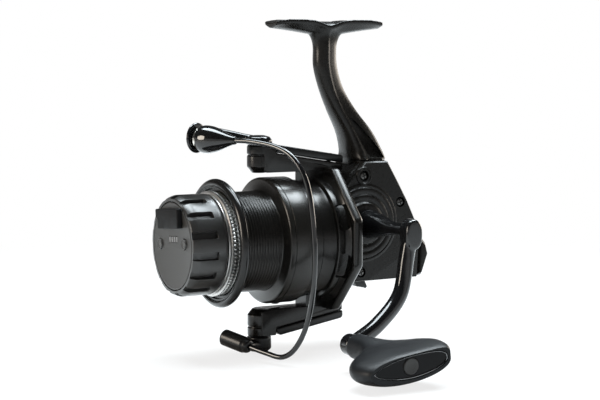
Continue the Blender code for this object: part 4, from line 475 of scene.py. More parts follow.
cover_plate = skin([
    side_ring(CASE_OUTLINE, COVER_INNER),
    side_ring(inset(CASE_OUTLINE, 0.15), COVER_INNER + 1.2),
    side_ring(inset(CASE_OUTLINE, 0.3), COVER_OUTER - 0.5),
    side_ring(inset(CASE_OUTLINE, 0.75), COVER_OUTER),
])
boss_profile = [
    (0, 14.3), (19.9, 14.3), (19.7, 15.65), (19.4, 15.85), (18.5, 15.95), (18.2, 15.75), (17.9, 15.75),
    (17.6, 16.25), (17.2, 16.5), (15.3, 16.6), (14.9, 16.35), (14.4, 16.35), (14.0, 16.8), (13.6, 17.0),
    (11.9, 17.1), (11.5, 16.85), (11.0, 16.85), (10.6, 17.3), (10.2, 18.1), (9.6, 18.5), (8.4, 18.7),
    (0, 18.7),
]
lower_slope = skin([
    [midway(*spot) + ACROSS * x for x, spot in ((14.95, edge), (30, edge), (30, foot), (12.6, foot))]
    for edge, foot in SLOPE_ENDS
])
cover = bare(cover_plate, "side_cover_shell")
screw_boss = [(0, 14.4), (4.7, 14.4), (4.6, 15.5), (4.3, 15.85), (3.7, 15.9), (3.4, 15.6), (0, 15.6)]
work(cover, "UNION", [
    turn(boss_profile, CRANK_POINT, ACROSS, 144),
    turn(screw_boss, COVER_SCREWS[0][1], ACROSS, 64),
])
front_trim = [(-30.0, -60.0), (3.05, -60.0), (3.05, 60.0), (-30.0, 60.0)]
work(cover, "DIFFERENCE", [
    lower_slope,
    slab(front_trim, 10.0, 22.0),
    turn([(0, 10.0), (8.3, 10.0), (8.3, 15.6), (4.3, 15.6), (4.3, 22.0), (0, 22.0)], CRANK_POINT, ACROSS, 64),
])
well = [(0, 10.0), (1.5, 10.0), (1.5, 13.3), (2.6, 13.3), (2.6, 20.0), (0, 20.0)]
work(cover, "DIFFERENCE", [turn(well, middle, ACROSS, 40) for name, middle in COVER_SCREWS])
dress(cover, casting, "frame", ["side_cover"])

# Three cross-head screws hold the cover. They are blackened steel, turned and cold-headed,
# and sit in wells a little below the painted face.
RECESS_TURN, RECESS_WIDTH = 0.3, 0.42


def bright_metal(name, dark, light, roughness, scratches=420.0):
    """Bare or plated metal with fine rubbed lines."""
    finish = Finish(name, Metallic=1.0)
    stretched = finish.add("ShaderNodeMapping", {}, {"Vector": finish.place, "Scale": (1.0, 9.0, 1.0)})
    rubbed = finish.noise(scratches, 3.0, stretched)
    cloud = finish.noise(140, 3.0)
    return finish.shade(
        Base_Color=finish.blend(cloud, dark, light),
        Roughness=roughness + 0.14 * rubbed + 0.05 * cloud,
        Normal=finish.bump(rubbed, 0.08, 0.00005),
    )


def cross_recess(point, direction, top, reach, depth):
    """The cross-shaped driver recess in a screw head."""
    tools = []
    for turned in (RECESS_TURN, RECESS_TURN + pi / 2):
        bm = bmesh.new()
        bmesh.ops.create_cube(bm, size=1.0)
        bmesh.ops.scale(bm, verts=bm.verts, vec=(2 * reach, RECESS_WIDTH * reach, 2 * depth))
        spin = Matrix.Translation((0, 0, top)) @ Matrix.Rotation(turned, 4, "Z")
        bmesh.ops.transform(bm, matrix=lay(point, direction) @ spin, verts=bm.verts)
        tools.append(bm)
    return tools


blackened = bright_metal("blackened_steel", (0.035, 0.034, 0.033), (0.10, 0.098, 0.095), 0.16)
for name, middle in COVER_SCREWS:
    profile = [(0, 5.0), (1.2, 5.0), (1.2, 13.6), (2.3, 13.6), (2.25, 14.3), (1.6, 14.95), (0, 15.1)]
    screw = bare(turn(eased(profile, 0.2), middle, ACROSS, 40), "cover_screw_head_" + name)
    work(screw, "DIFFERENCE", cross_recess(middle, ACROSS, 15.1, 1.45, 0.9))
    dress(screw, blackened, "frame", ["cover_screw_" + name])

# The tail cap plugs the rear of the gear case behind the worm. It is moulded in tough plastic
# to match the paint, and clips over the end of the casting.
TAIL_START, TAIL_END = 47.3, 55.3


def soften(piece, width, segments=3, angle=32):
    """Bevels the sharp edges of a piece."""
    bevel = piece.modifiers.new("soft_edges", "BEVEL")
    bevel.width = width * MM
    bevel.segments = segments
    bevel.limit_method = "ANGLE"
    bevel.angle_limit = radians(angle)
    return settle(piece)


tail_outline = [
    (TAIL_START, CASE_FLOOR), (TAIL_START + 4.0, -21.5), (TAIL_END, -10.5), (TAIL_END - 1.5, -5.0),
    (TAIL_START, 2.5),
]
tail = bare(skin([
    side_ring(inset(tail_outline, 2.2), CASE_LEFT + 1.5),
    side_ring(tail_outline, CASE_LEFT + 5.0),
    side_ring(tail_outline, CASE_SPLIT - 1.0),
    side_ring(inset(tail_outline, 2.2), CASE_SPLIT + 2.8),
]), "tail_plug")
dress(soften(tail, 0.9, 3, 12), casting, "frame", ["tail_cap"])

# The blank side cap screws over the left drive bearing, where the handle can be changed over.
# It is turned plastic with a coin slot.


def satin_plastic(name, dark, light, roughness, shine=0.26):
    """Moulded plastic with a fine spark-eroded grain."""
    finish = Finish(name, Specular_IOR_Level=shine)
    cloud = finish.noise(60, 3.0)
    grain = finish.noise(3200, 2.0)
    return finish.shade(
        Base_Color=finish.blend(cloud, dark, light),
        Roughness=roughness + 0.12 * cloud,
        Normal=finish.bump(grain, 0.10, 0.00006),
    )


satin = satin_plastic("satin_black_plastic", (0.0050, 0.0050, 0.0052), (0.0110, 0.0108, 0.0105), 0.24)
cap_profile = [
    (0, -13.8), (7.5, -13.8), (7.5, -15.3), (9.2, -15.3), (9.1, -16.6), (8.4, -18.0), (6.6, -18.3),
    (6.2, -18.0), (0, -18.3),
]
side_cap = bare(turn(eased(cap_profile, 0.3), CRANK_POINT, ACROSS, 96), "blank_side_cap")
slot_outline = [(12.7, -1.0), (14.1, -1.0), (14.1, 16.0), (12.7, 16.0)]
work(side_cap, "DIFFERENCE", [slab(slot_outline, -19.5, -17.3)])
dress(side_cap, satin, "frame", ["handle_side_cap"])

# The anti-reverse lever swings on a short pin under the case. It is a moulded tab with three
# thumb ridges, pressed on the pin from below.
tab_outline = [(LEVER_Y + back, CASE_FLOOR - drop) for back, drop in (
    (-3.0, 0.6), (-1.5, 4.2), (-0.2, 4.55), (0.2, 4.2), (0.8, 4.8), (1.3, 4.4), (2.0, 5.1), (2.5, 4.7),
    (4.0, 5.6), (5.0, 4.6), (3.0, 0.6),
)]
lever = bare(slab(tab_outline, -2.6, 2.6), "anti_reverse_tab")
work(lever, "UNION", [rod(2.2, CASE_FLOOR - 2.0, CASE_FLOOR + 2.8, midway(LEVER_Y), UP, 40)])
dress(soften(lever, 0.25, 2), satin, "anti_reverse", ["anti_reverse_lever"])

# The drive works sit inside the case and nose: a bronze face gear, the pinion, the worm that moves
# the spool to and fro, and their bearings. They keep their cut shapes and get their metals here.


def machined(name, dark, light, roughness):
    """Cut metal with a light film of grease."""
    finish = Finish(name, Metallic=1.0)
    cloud = finish.noise(220, 4.0)
    cuts = finish.noise(1500, 2.0)
    return finish.shade(
        Base_Color=finish.blend(cloud, dark, light),
        Roughness=roughness + 0.2 * cloud,
        Normal=finish.bump(cuts, 0.15, 0.00006),
    )


def keep_node(finish, *names):
    """Gives nodes that keep their CAD shape a finish."""
    for name in names:
        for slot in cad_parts[name].material_slots:
            slot.material = finish


bronze = machined("gear_bronze_cut", (0.36, 0.24, 0.10), (0.60, 0.44, 0.20), 0.25)
ground = machined("ground_steel", (0.40, 0.40, 0.41), (0.62, 0.62, 0.61), 0.18)
keep_node(bronze, "drive_gear", "pinion_gear", "knob_nut")
keep_node(ground, "drive_bearing_left", "drive_bearing_right", "pinion_bearing", "clutch_sleeve", "guide_rod",
          "worm_shaft", "main_shaft", "rotor_nut", "bail_spring", "drag_spring", "drag_plate", "drag_clip",
          "pivot_pin_upper", "pivot_pin_lower", "grip_axle")
keep_node(satin, "one_way_clutch", "oscillation_carriage", "spool_seat")

# The rotor is a die-cast drum under the spool skirt, with two arms that carry the bail.
# An eight-sided hoop stiffens its rear, joined to the drum by a flare with two openings on each side.
# It is turned, polished and blackened, and reflects in a faint warm brown.
HOOP_RADIUS = 38.0
HOOP_CORNERS = (17.5, 68.0, 112.0, 162.5, 197.5, 248.0, 292.0, 342.5)
WINDOW_TURNS, WINDOW_REACH, WINDOW_Y = (-22, 24), (22.0, 36.0), -6.2
WINDOW_WIDTH, WINDOW_LENGTH, WINDOW_CORNER = 13.0, 5.2, 1.2
ARM_HALF_WIDTH, WEB_HALF_WIDTH = 5.8, 5.4
ARM_REAR, COVER_FRONT, PIVOT_Y = 7.5, -30.0, -37.0
ARM_RISE_FRONT, ARM_RISE_REAR = 43.0, 36.8
ARM_FRONTS = [(-42.0, 1), (-43.5, -1)]
PIVOT_POINT = midway(PIVOT_Y)
PIVOT_BORE = 1.8


def anodised(name, dark, light, roughness):
    """Blackened turned metal, with tool lines running round the spool axis."""
    finish = Finish(name, Metallic=0.3, Specular_IOR_Level=0.36)
    spread = finish.add("ShaderNodeMapping", {}, {
        "Vector": finish.place, "Location": (0, 0, -SPOOL_Z * MM), "Scale": (1.0, 0.0, 1.0)})
    radius = finish.add("ShaderNodeVectorMath", {"operation": "LENGTH"}, {0: spread}, 1)
    along = finish.add("ShaderNodeSeparateXYZ", {}, {0: finish.place}, 1)
    reach = finish.add("ShaderNodeCombineXYZ", {}, {0: radius + along})
    lines = finish.noise(5200, 2.0, reach)
    cloud = finish.noise(45, 3.0)
    return finish.shade(
        Base_Color=finish.blend(cloud, dark, light),
        Roughness=roughness + 0.10 * lines + 0.05 * cloud,
        Normal=finish.bump(lines, 0.10, 0.00004),
    )


def arm_outline(front, sign):
    """Side view of a rotor arm above or below the axis."""
    points = [
        (front + 5.0, 34.6), (front + 7.0, 33.5), (ARM_REAR, 33.5), (ARM_REAR, ARM_RISE_REAR),
        (COVER_FRONT, ARM_RISE_FRONT), (COVER_FRONT - 0.3, 46.6), (front + 5.0, 46.6),
    ]
    return [(y, rise * sign) for y, rise in points]


def wrap(rings):
    """Joins rings into a closed band round a hole."""
    bm = bmesh.new()
    loops = [[bm.verts.new(point) for point in ring] for ring in rings]
    for near, far in zip(loops, loops[1:] + loops[:1]):
        for index, corner in enumerate(near):
            after = (index + 1) % len(near)
            bm.faces.new((corner, near[after], far[after], far[index]))
    return bm


def hoop_ring(share, y):
    """The eight-sided outline of the rear hoop, with eased corners, scaled to the axis."""
    radius = HOOP_RADIUS * share
    corners = [(radius * cos(radians(turned)), radius * sin(radians(turned))) for turned in HOOP_CORNERS]
    return [SPOOL_POINT + Vector((x, y, z)) for x, z in eased(corners, 1.5, 4, False)]


def plate(width, height, corner):
    """A rectangle with rounded corners."""
    across, up = width / 2 - corner, height / 2 - corner
    spots = []
    for quarter, (a, b) in enumerate(((1, 1), (-1, 1), (-1, -1), (1, -1))):
        for part in range(5):
            angle = pi / 2 * (quarter + part / 4)
            spots.append((a * across + corner * cos(angle), b * up + corner * sin(angle)))
    return spots


def drum_window(turned):
    """A cut through the flare between the drum and the hoop."""
    out = Vector((cos(radians(turned)), 0, sin(radians(turned))))
    around = out.cross(FORE)
    middle = SPOOL_POINT + FORE * WINDOW_Y
    shape = plate(WINDOW_WIDTH, WINDOW_LENGTH, WINDOW_CORNER)
    return skin([[middle + out * reach + around * a + FORE * b for a, b in shape] for reach in WINDOW_REACH])


cup_profile = [
    (4.9, -25.5), (27.6, -25.5), (28.7, -25.2), (29.2, -24.5), (29.2, -17.4), (28.9, -16.9), (28.3, -16.6),
    (28.3, -9.9), (28.5, -9.55), (30.2, -9.35), (30.6, -9.0), (30.6, -6.4), (30.3, -6.1), (30.3, -5.6),
    (30.8, -5.0), (33.0, -3.7), (33.0, -0.7), (31.5, -1.1), (28.5, -6.5), (27.1, -8.4), (26.7, -9.5),
    (26.7, -22.5), (4.9, -22.5),
]
hoop_rings = [hoop_ring(share, y) for share, y in (
    (0.85, -2.9), (0.92, -3.5), (0.945, -4.05), (0.972, -4.1), (0.99, -3.75), (0.996, -3.3), (0.996, -0.3),
    (0.99, 0.15), (0.968, 1.1), (0.955, 1.2), (0.85, 1.0),
)]
black_alloy = anodised("blackened_alloy", (0.0045, 0.0042, 0.0038), (0.0105, 0.0096, 0.0085), 0.17)
rotor = bare(turn(cup_profile, SPOOL_POINT, FORE, 144), "rotor_cup")
work(rotor, "DIFFERENCE", [drum_window(side + turned) for side in (0, 180) for turned in WINDOW_TURNS])
work(rotor, "UNION", [wrap(hoop_rings)])
pivot_boss = [
    (0, 33.4), (3.4, 33.4), (5.75, 36.4), (5.75, 41.6), (5.3, 41.9), (5.3, 42.4), (5.75, 42.7), (5.75, 46.3),
    (5.2, 47.0), (0, 47.0),
]
arm_tools = []
for front, sign in ARM_FRONTS:
    arm = bare(slab(arm_outline(front, sign), -ARM_HALF_WIDTH, ARM_HALF_WIDTH), "arm")
    soften(arm, 0.8, 3)
    web = [(y, rise * sign) for y, rise in ((-13.5, 28.0), (0.8, 28.0), (0.8, 35.0), (-13.5, 35.0))]
    work(arm, "UNION", [
        slab(web, -WEB_HALF_WIDTH, WEB_HALF_WIDTH),
        turn(eased(pivot_boss, 0.25), PIVOT_POINT, UP * sign, 72),
    ])
    whole = bmesh.new()
    whole.from_mesh(arm.data)
    bmesh.ops.scale(whole, verts=whole.verts, vec=(1 / MM, 1 / MM, 1 / MM))
    bpy.data.objects.remove(arm)
    arm_tools.append(whole)
work(rotor, "UNION", arm_tools)
spring_room = [(-26.0, 35.7), (-13.5, 35.7), (-13.5, 46.0), (-26.0, 46.0)]
work(rotor, "DIFFERENCE", [
    slab(spring_room, -4.5, 4.5),
    rod(PIVOT_BORE, 36.5, 49.0, PIVOT_POINT, UP, 28),
    rod(PIVOT_BORE, -49.0, -36.5, PIVOT_POINT, UP, 28),
])
dress(rotor, black_alloy, "rotor", ["rotor"], 30)

# A moulded cover closes each arm over the bail spring. One small screw at the rear holds it,
# and its face is sunk inside a thin rim.
COVER_THICK, COVER_GAP, SCREW_Y = 3.9, 0.3, 2.5
cover_slope = (ARM_RISE_FRONT - ARM_RISE_REAR) / (ARM_REAR - COVER_FRONT)
screw_rise = ARM_RISE_FRONT - cover_slope * (SCREW_Y - COVER_FRONT)
screw_point = midway(SCREW_Y)
top = screw_rise + COVER_GAP + COVER_THICK
for name, sign in (("upper", 1), ("lower", -1)):
    points = [
        (COVER_FRONT, ARM_RISE_FRONT + COVER_GAP), (ARM_REAR, ARM_RISE_REAR + COVER_GAP), (ARM_REAR, 40.2),
        (ARM_REAR - 0.8, 41.0), (COVER_FRONT + 2.0, 46.8), (COVER_FRONT, 45.2),
    ]
    outline = [(y, rise * sign) for y, rise in points]
    lid = bare(slab(outline, -ARM_HALF_WIDTH, ARM_HALF_WIDTH), "arm_lid_" + name)
    soften(lid, 0.55, 3)
    sunk = [(y, rise * sign) for y, rise in ((-25.5, 45.55), (-3.0, 42.05), (-3.0, 46.0), (-25.5, 49.0))]
    axis_up = UP * sign
    well = [
        (0, screw_rise - 2.0), (1.4, screw_rise - 2.0), (1.4, top - 1.6), (2.5, top - 1.6), (2.5, top + 3),
        (0, top + 3),
    ]
    work(lid, "DIFFERENCE", [slab(sunk, -4.3, 4.3), turn(well, screw_point, axis_up, 32)])
    dress(lid, satin, "rotor", ["arm_cover_" + name])
    profile = [
        (0, screw_rise - 2.5), (1.1, screw_rise - 2.5), (1.1, top - 1.3), (2.2, top - 1.3), (2.1, top - 0.5),
        (1.5, top - 0.1), (0, top - 0.1),
    ]
    screw = bare(turn(eased(profile, 0.15), screw_point, axis_up, 36), "arm_screw_head_" + name)
    work(screw, "DIFFERENCE", cross_recess(screw_point, axis_up, top - 0.1, 1.3, 0.7))
    dress(screw, blackened, "rotor", ["arm_screw_" + name])

# The bail arm swings on the upper rotor arm and holds the line roller out at the side.
# It is a polished casting in thick gloss black paint, drawn from its hub into a round eye.
ROLLER_POINT = Vector((-9.0, -64.0, 50.0 + SPOOL_Z))
ROLLER_AXIS = Vector((0.916, 0.40, 0)).normalized()


def gloss_paint(name, shine, coat):
    """Thick gloss black with a trace of orange peel and faint finger marks."""
    finish = Finish(name, Specular_IOR_Level=shine, Coat_Weight=coat, Coat_Roughness=0.03)
    peel = finish.noise(700, 1.0)
    marks = finish.noise(110, 4.0)
    return finish.shade(
        Base_Color=finish.blend(marks, (0.0028, 0.0028, 0.0032), (0.0060, 0.0060, 0.0064)),
        Roughness=0.06 + 0.10 * marks,
        Normal=finish.bump(peel, 0.04, 0.00005),
    )


def sweep(path, section, side):
    """Carries a section along a path, with one steady side direction."""
    rings = []
    for index, point in enumerate(path):
        ahead = path[min(index + 1, len(path) - 1)] - path[max(index - 1, 0)]
        across = (side - ahead * side.dot(ahead) / ahead.length_squared).normalized()
        upright = ahead.normalized().cross(across)
        shape = section(index / (len(path) - 1)) if callable(section) else section
        rings.append([point + across * a + upright * b for a, b in shape])
    return skin(rings)


def ramp(value, low, high):
    """Rises smoothly from 0 to 1 between two values."""
    share = min(1.0, max(0.0, (value - low) / (high - low)))
    return share * share * (3 - 2 * share)


def on_bail(distance, rise):
    """A point in the bail's plane, from the roller along the roller axis."""
    spot = ROLLER_POINT + ROLLER_AXIS * distance
    return Vector((spot.x, spot.y, rise + SPOOL_Z))


EYE_START, EYE_END = -3.9, -1.7
hub_profile = [(0, 47.3), (6.6, 47.3), (6.6, 49.2), (5.4, 50.9), (2.5, 51.7), (0, 51.8)]
eye_profile = [
    (0, EYE_START), (5.6, EYE_START), (7.4, EYE_START + 1.0), (7.4, EYE_END - 0.5), (6.9, EYE_END),
    (0, EYE_END),
]
eye_bore = [
    (0, EYE_START - 8), (3.3, EYE_START - 8), (3.3, EYE_START + 0.6), (1.9, EYE_START + 0.6),
    (1.9, EYE_END + 1), (0, EYE_END + 1),
]
strap_path = flowing(
    [
        midway(PIVOT_Y, 49.4),
        midway(PIVOT_Y - 6.5, 50.4) - ACROSS * 9.5,
        midway(PIVOT_Y - 17.0, 51.9) - ACROSS * 17.2,
        on_bail(EYE_START + 0.6, 53.2),
    ],
    12,
)


def strap_section(share):
    """The strap stands low at its hub, and thinner and taller at the eye."""
    return oval(1.9 - 0.6 * ramp(share, 0.5, 0.95), 1.9 + 1.6 * ramp(share, 0.1, 0.7), 32, 2.4)


gloss = gloss_paint("gloss_black_paint", 0.42, 0.15)
bail_arm = melt(
    "bail_arm_casting",
    [
        turn(eased(hub_profile, 0.5), PIVOT_POINT, UP, 96),
        turn(eased(eye_profile, 0.5), ROLLER_POINT + UP * 0.5, ROLLER_AXIS, 96),
        sweep(strap_path, strap_section, ROLLER_AXIS),
    ],
    0.22, 4, 0.5,
)
work(bail_arm, "DIFFERENCE", [
    turn(eye_bore, ROLLER_POINT, ROLLER_AXIS, 48),
    rod(PIVOT_BORE, 46.0, 51.3, PIVOT_POINT, UP, 28),
])
dress(bail_arm, gloss, "bail", ["bail_arm"])

# The line roller is a hard bright bush with a shallow groove, running free on its screw.
# The screw passes through the eye and the cone and has a domed head with a cross recess.
roller_profile = [
    (1.9, -1.35), (4.6, -1.35), (4.9, -1.15), (4.9, -0.95), (4.45, -0.55), (4.25, -0.1), (4.2, 0.3),
    (4.25, 0.7), (4.4, 1.2), (4.8, 1.9), (4.8, 2.15), (4.6, 2.4), (1.9, 2.4),
]
polished = bright_metal("polished_roller", (0.55, 0.52, 0.46), (0.80, 0.78, 0.73), 0.07, 900.0)
roller = bare(turn(roller_profile, ROLLER_POINT, ROLLER_AXIS, 96), "line_roller_bush")
dress(roller, polished, "roller", ["line_roller"])
screw_profile = [
    (0, -4.7), (2.2, -4.65), (2.9, -4.3), (3.0, -4.0), (3.0, -3.5), (1.6, -3.5), (1.6, 6.2), (0, 6.2),
]
roller_screw = bare(turn(screw_profile, ROLLER_POINT, ROLLER_AXIS, 56), "roller_screw_head")
work(roller_screw, "DIFFERENCE", cross_recess(ROLLER_POINT, ROLLER_AXIS, -4.7, 1.7, 0.5))
dress(roller_screw, blackened, "bail", ["roller_screw"])

# The cone covers the inner end of the roller and takes the bail wire. It is a solid gloss black
# moulding, fat at the roller and drawn out to the wire like a drop.
WIRE_BORE = 1.5
cone_profile = [
    (0, 0.7), (5.5, 0.7), (6.2, 1.2), (6.65, 2.2), (6.8, 3.6), (6.75, 5.4), (6.45, 7.6), (5.85, 10.0),
    (5.0, 12.5), (4.0, 15.0), (3.1, 17.3), (2.45, 19.3), (2.05, 20.9), (1.85, 21.7), (1.5, 22.0), (0, 22.0),
]
cone_bore = [(0, -0.5), (5.15, -0.5), (5.15, 2.7), (1.9, 2.7), (1.9, 6.7), (0, 6.7)]
cone = bare(turn(eased(cone_profile, 0.3, 2), ROLLER_POINT, ROLLER_AXIS, 112), "bail_cone")
work(cone, "DIFFERENCE", [
    turn(cone_bore, ROLLER_POINT, ROLLER_AXIS, 64),
    rod(WIRE_BORE, 20.2, 24.5, ROLLER_POINT, ROLLER_AXIS, 32),
])
dress(cone, gloss, "bail", ["roller_cone"])

# The bail wire is one length of stiff drawn wire in gloss black, bent to hoop round the spool.
# It is pressed into the cone at one end and into the lower lever at the other.
WIRE_REACH = 68.7
barrel_start, barrel_end = on_bail(14.0, -45.2), on_bail(30.0, -48.4)
barrel_axis = (barrel_end - barrel_start).normalized()
barrel_length = (barrel_end - barrel_start).length
wire_points = [on_bail(WIRE_REACH + back, rise) for back, rise in (
    (-48.0, 50.0), (-37.0, 49.8), (-23.0, 47.8), (-13.0, 43.2), (-5.5, 33.5), (-1.8, 19.0), (0.0, -2.0),
    (-1.6, -22.0), (-5.6, -36.5), (-12.0, -46.8), (-19.5, -51.2), (-29.0, -50.2),
)]
wire_points += [barrel_end + barrel_axis * 1.5, barrel_end - barrel_axis * 3]
wire_side = ROLLER_AXIS.cross(UP)
wire = bare(sweep(flowing(wire_points, 9), oval(1.25, 1.25, 20, 2.0), wire_side), "bail_wire_hoop")
dress(wire, gloss, "bail", ["bail_wire"])

# The lower lever pivots on the other rotor arm and carries the end of the wire in a round socket.
# It is moulded in satin black with a flat bridge between hub and socket.
lever_profile = [(0, -54.5), (4.5, -54.5), (6.0, -53.0), (6.0, -47.3), (0, -47.3)]
socket_profile = [
    (0, 0), (3.3, 0), (4.0, 0.7), (4.0, barrel_length - 3.4), (3.6, barrel_length - 2.6),
    (3.5, barrel_length - 1.6), (3.2, barrel_length - 0.6), (2.6, barrel_length), (0, barrel_length),
]
bridge_path = flowing(
    [
        midway(PIVOT_Y, -51.0),
        midway(PIVOT_Y - 10.0, -50.0) + ACROSS * 4.0,
        barrel_start.lerp(barrel_end, 0.55),
    ],
    8,
)
bail_lever = melt(
    "bail_lower_lever",
    [
        turn(eased(lever_profile, 0.4), PIVOT_POINT, UP, 96),
        turn(eased(socket_profile, 0.2), barrel_start, barrel_axis, 96),
        sweep(bridge_path, oval(4.6, 2.4, 32, 2.6), ACROSS),
    ],
    0.25, 3, 0.5,
)
work(bail_lever, "DIFFERENCE", [
    rod(WIRE_BORE, barrel_length - 3.6, barrel_length + 2, barrel_start, barrel_axis, 32),
    rod(PIVOT_BORE, -51.3, -46.0, PIVOT_POINT, UP, 28),
])
dress(bail_lever, satin, "bail", ["bail_lever"])

# The spool is turned from alloy and blackened. Its core is cut with a row of shallow grooves that
# hold the first turns of line, and a plain skirt runs back over the rotor drum.
ARBOR_FRONT, FLANGE_FRONT, SKIRT_REAR = -57.0, -36.0, -22.0
ARBOR_RADIUS = 24.5
GROOVES, GROOVE_DEPTH = 13, 0.5
GROOVE_SHAPE = [(0.0, 0.0), (0.30, 0.0), (0.38, 0.15), (0.48, 0.8), (0.62, 1.0), (0.76, 0.8), (0.90, 0.15)]
groove_pitch = (FLANGE_FRONT - ARBOR_FRONT - 2.0) / GROOVES
arbor_points = []
for groove in range(GROOVES):
    start = ARBOR_FRONT + 0.8 + groove_pitch * groove
    for share, depth in GROOVE_SHAPE:
        arbor_points.append((ARBOR_RADIUS - GROOVE_DEPTH * depth, start + groove_pitch * share))
spool_profile = [
    (4.9, -47.0), (15.3, -47.0), (15.3, ARBOR_FRONT), (ARBOR_RADIUS - 0.3, ARBOR_FRONT),
    (ARBOR_RADIUS, ARBOR_FRONT + 0.3), *arbor_points, (ARBOR_RADIUS, -37.4), (24.7, -36.9), (25.2, -36.55),
    (29.6, -36.05), (30.4, -35.8), (30.85, -35.4), (31.0, -34.8), (31.0, -33.4), (30.7, -33.2), (30.7, -32.9),
    (31.0, -32.7), (31.0, -22.6), (30.8, -22.2), (30.4, SKIRT_REAR), (29.8, SKIRT_REAR), (29.8, -34.0),
    (22.3, -34.0), (22.3, -43.0), (4.9, -43.0),
]
spool_alloy = anodised("spool_alloy", (0.0065, 0.0060, 0.0052), (0.0150, 0.0136, 0.0117), 0.17)
spool = bare(turn(spool_profile, SPOOL_POINT, FORE, 160), "spool_core")
clip_turn = radians(-96)
clip_out = Vector((cos(clip_turn), 0, sin(clip_turn)))
clip_point = SPOOL_POINT + FORE * -26.5
work(spool, "DIFFERENCE", [rod(1.3, 28.0, 33.0, clip_point, clip_out, 32)])
dress(spool, spool_alloy, "spool", ["spool_body"], 30)

# The spool lip is a separate ring pressed on the front of the core, so that line slips off it.
# It is polished before blackening, with a rounded rim and a stepped bead inside.
lip_profile = [
    (16.5, -57.3), (28.2, -57.3), (29.2, -57.5), (30.3, -58.0), (30.9, -58.7), (31.2, -59.5), (31.15, -60.2),
    (30.8, -60.9), (30.2, -61.5), (29.4, -61.9), (28.7, -62.0), (28.3, -61.8), (28.1, -61.3), (27.7, -61.1),
    (27.3, -61.3), (26.9, -61.2), (26.65, -60.6), (26.6, -60.0), (16.5, -60.0),
]
lip_alloy = anodised("lip_alloy", (0.0060, 0.0060, 0.0060), (0.0125, 0.0122, 0.0118), 0.12)
lip = bare(turn(lip_profile, SPOOL_POINT, FORE, 160), "spool_rim")
dress(lip, lip_alloy, "spool", ["spool_lip"], 50)

# The line clip is a small round stud on the skirt that pinches a loose end. It is blackened steel,
# riveted through the wall of the skirt.
clip_profile = [
    (0, 29.8), (1.0, 29.8), (1.0, 31.3), (2.5, 31.3), (2.6, 31.6), (2.3, 32.1), (1.6, 32.4), (0, 32.5),
]
stud = bare(turn(clip_profile, clip_point, clip_out, 48), "line_stud")
dress(stud, blackened, "spool", ["line_clip"])

# The drag stack lies in the front of the spool under the knob: a greased felt between plates.
# Only its edges could ever be seen, with the knob off.
felt = Finish("greased_felt", Specular_IOR_Level=0.2)
fibres = felt.noise(1800, 5.0)
soaked = felt.noise(120, 3.0)
keep_node(
    felt.shade(
        Base_Color=felt.blend(soaked, (0.20, 0.17, 0.12), (0.42, 0.38, 0.30)),
        Roughness=0.80 + 0.18 * fibres,
        Normal=felt.bump(fibres, 0.6, 0.0003),
    ),
    "drag_felt",
)

# The knurled ring turns with the knob and clicks against the spool. It is rolled in bright steel
# with two rows of small diamonds.
KNURL_RADIUS, KNURL_FRONT, KNURL_REAR = 25.5, -64.4, -60.3
DIAMONDS, KNURL_DEPTH = 84, 0.55


def ripple(turns):
    """A triangle wave from 0 to 1."""
    return abs(2 * (turns - floor(turns + 0.5)))


def about_spool(radius, along, angle):
    """A point round the spool axis."""
    return SPOOL_POINT + Vector((radius * cos(angle), along, radius * sin(angle)))


def knurl_ring(radius, along):
    """One ring of the knurled band, with its crossed cuts."""
    spots = []
    count = DIAMONDS * 8
    share = (along - KNURL_FRONT) / (KNURL_REAR - KNURL_FRONT)
    fade = min(1.0, 6 * min(share, 1 - share))
    for index in range(count):
        turned = index / count
        ridge = min(ripple(turned * DIAMONDS + share), ripple(turned * DIAMONDS - share))
        depth = KNURL_DEPTH * (1 - min(1.0, 1.7 * ridge)) * fade
        spots.append(about_spool(radius - depth, along, 2 * pi * turned))
    return spots


knurl_rows = [(19.0, KNURL_FRONT), (24.6, KNURL_FRONT), (24.9, KNURL_FRONT + 0.12)]
knurl_rows += [(KNURL_RADIUS, KNURL_FRONT + 0.3 + 3.5 * index / 18) for index in range(19)]
knurl_rows += [(24.9, KNURL_REAR - 0.12), (24.6, KNURL_REAR), (19.0, KNURL_REAR)]
knurl = wrap([knurl_ring(*row) for row in knurl_rows])
rolled = bright_metal("rolled_steel", (0.30, 0.297, 0.29), (0.58, 0.573, 0.56), 0.26)
dress(bare(knurl, "knurled_band"), rolled, "knob", ["knurled_ring"], 25)

# A thin bright washer parts the knurled ring from the knob. It is stamped from the same steel,
# with rounded edges.
washer_profile = [
    (11.7, -65.6), (23.9, -65.6), (24.15, -65.45), (24.2, -65.15), (24.15, -64.85), (23.9, -64.7),
    (11.7, -64.7),
]
washer = bare(turn(washer_profile, SPOOL_POINT, FORE, 144), "bright_washer")
dress(washer, rolled, "knob", ["bright_ring"])

# The knob is moulded in satin black, with fifteen finger slots that run out at the front chamfer.
# The circuit, its cell and a bronze nut sit inside it.
KNOB_RADIUS, KNOB_FRONT, KNOB_REAR = 24.3, -83.6, -65.9
SLOTS, SLOT_HALF, SLOT_DEPTH, SLOT_END = 15, 1.8, 1.75, -70.9
SLOT_CORNER, SLOT_BLEND, SLOT_FLOOR = 0.7, 0.16, 22.45
KNOB_ROLL = radians(5)


def slot_depth(offset, along):
    """How deep a finger slot is at a distance from its middle line."""
    past_end = max(0.0, along - (SLOT_END - SLOT_CORNER))
    aside = max(0.0, abs(offset) - (SLOT_HALF - SLOT_CORNER))
    reach = hypot(aside, past_end)
    return SLOT_DEPTH * (1 - ramp(reach, SLOT_CORNER - SLOT_BLEND, SLOT_CORNER + SLOT_BLEND))


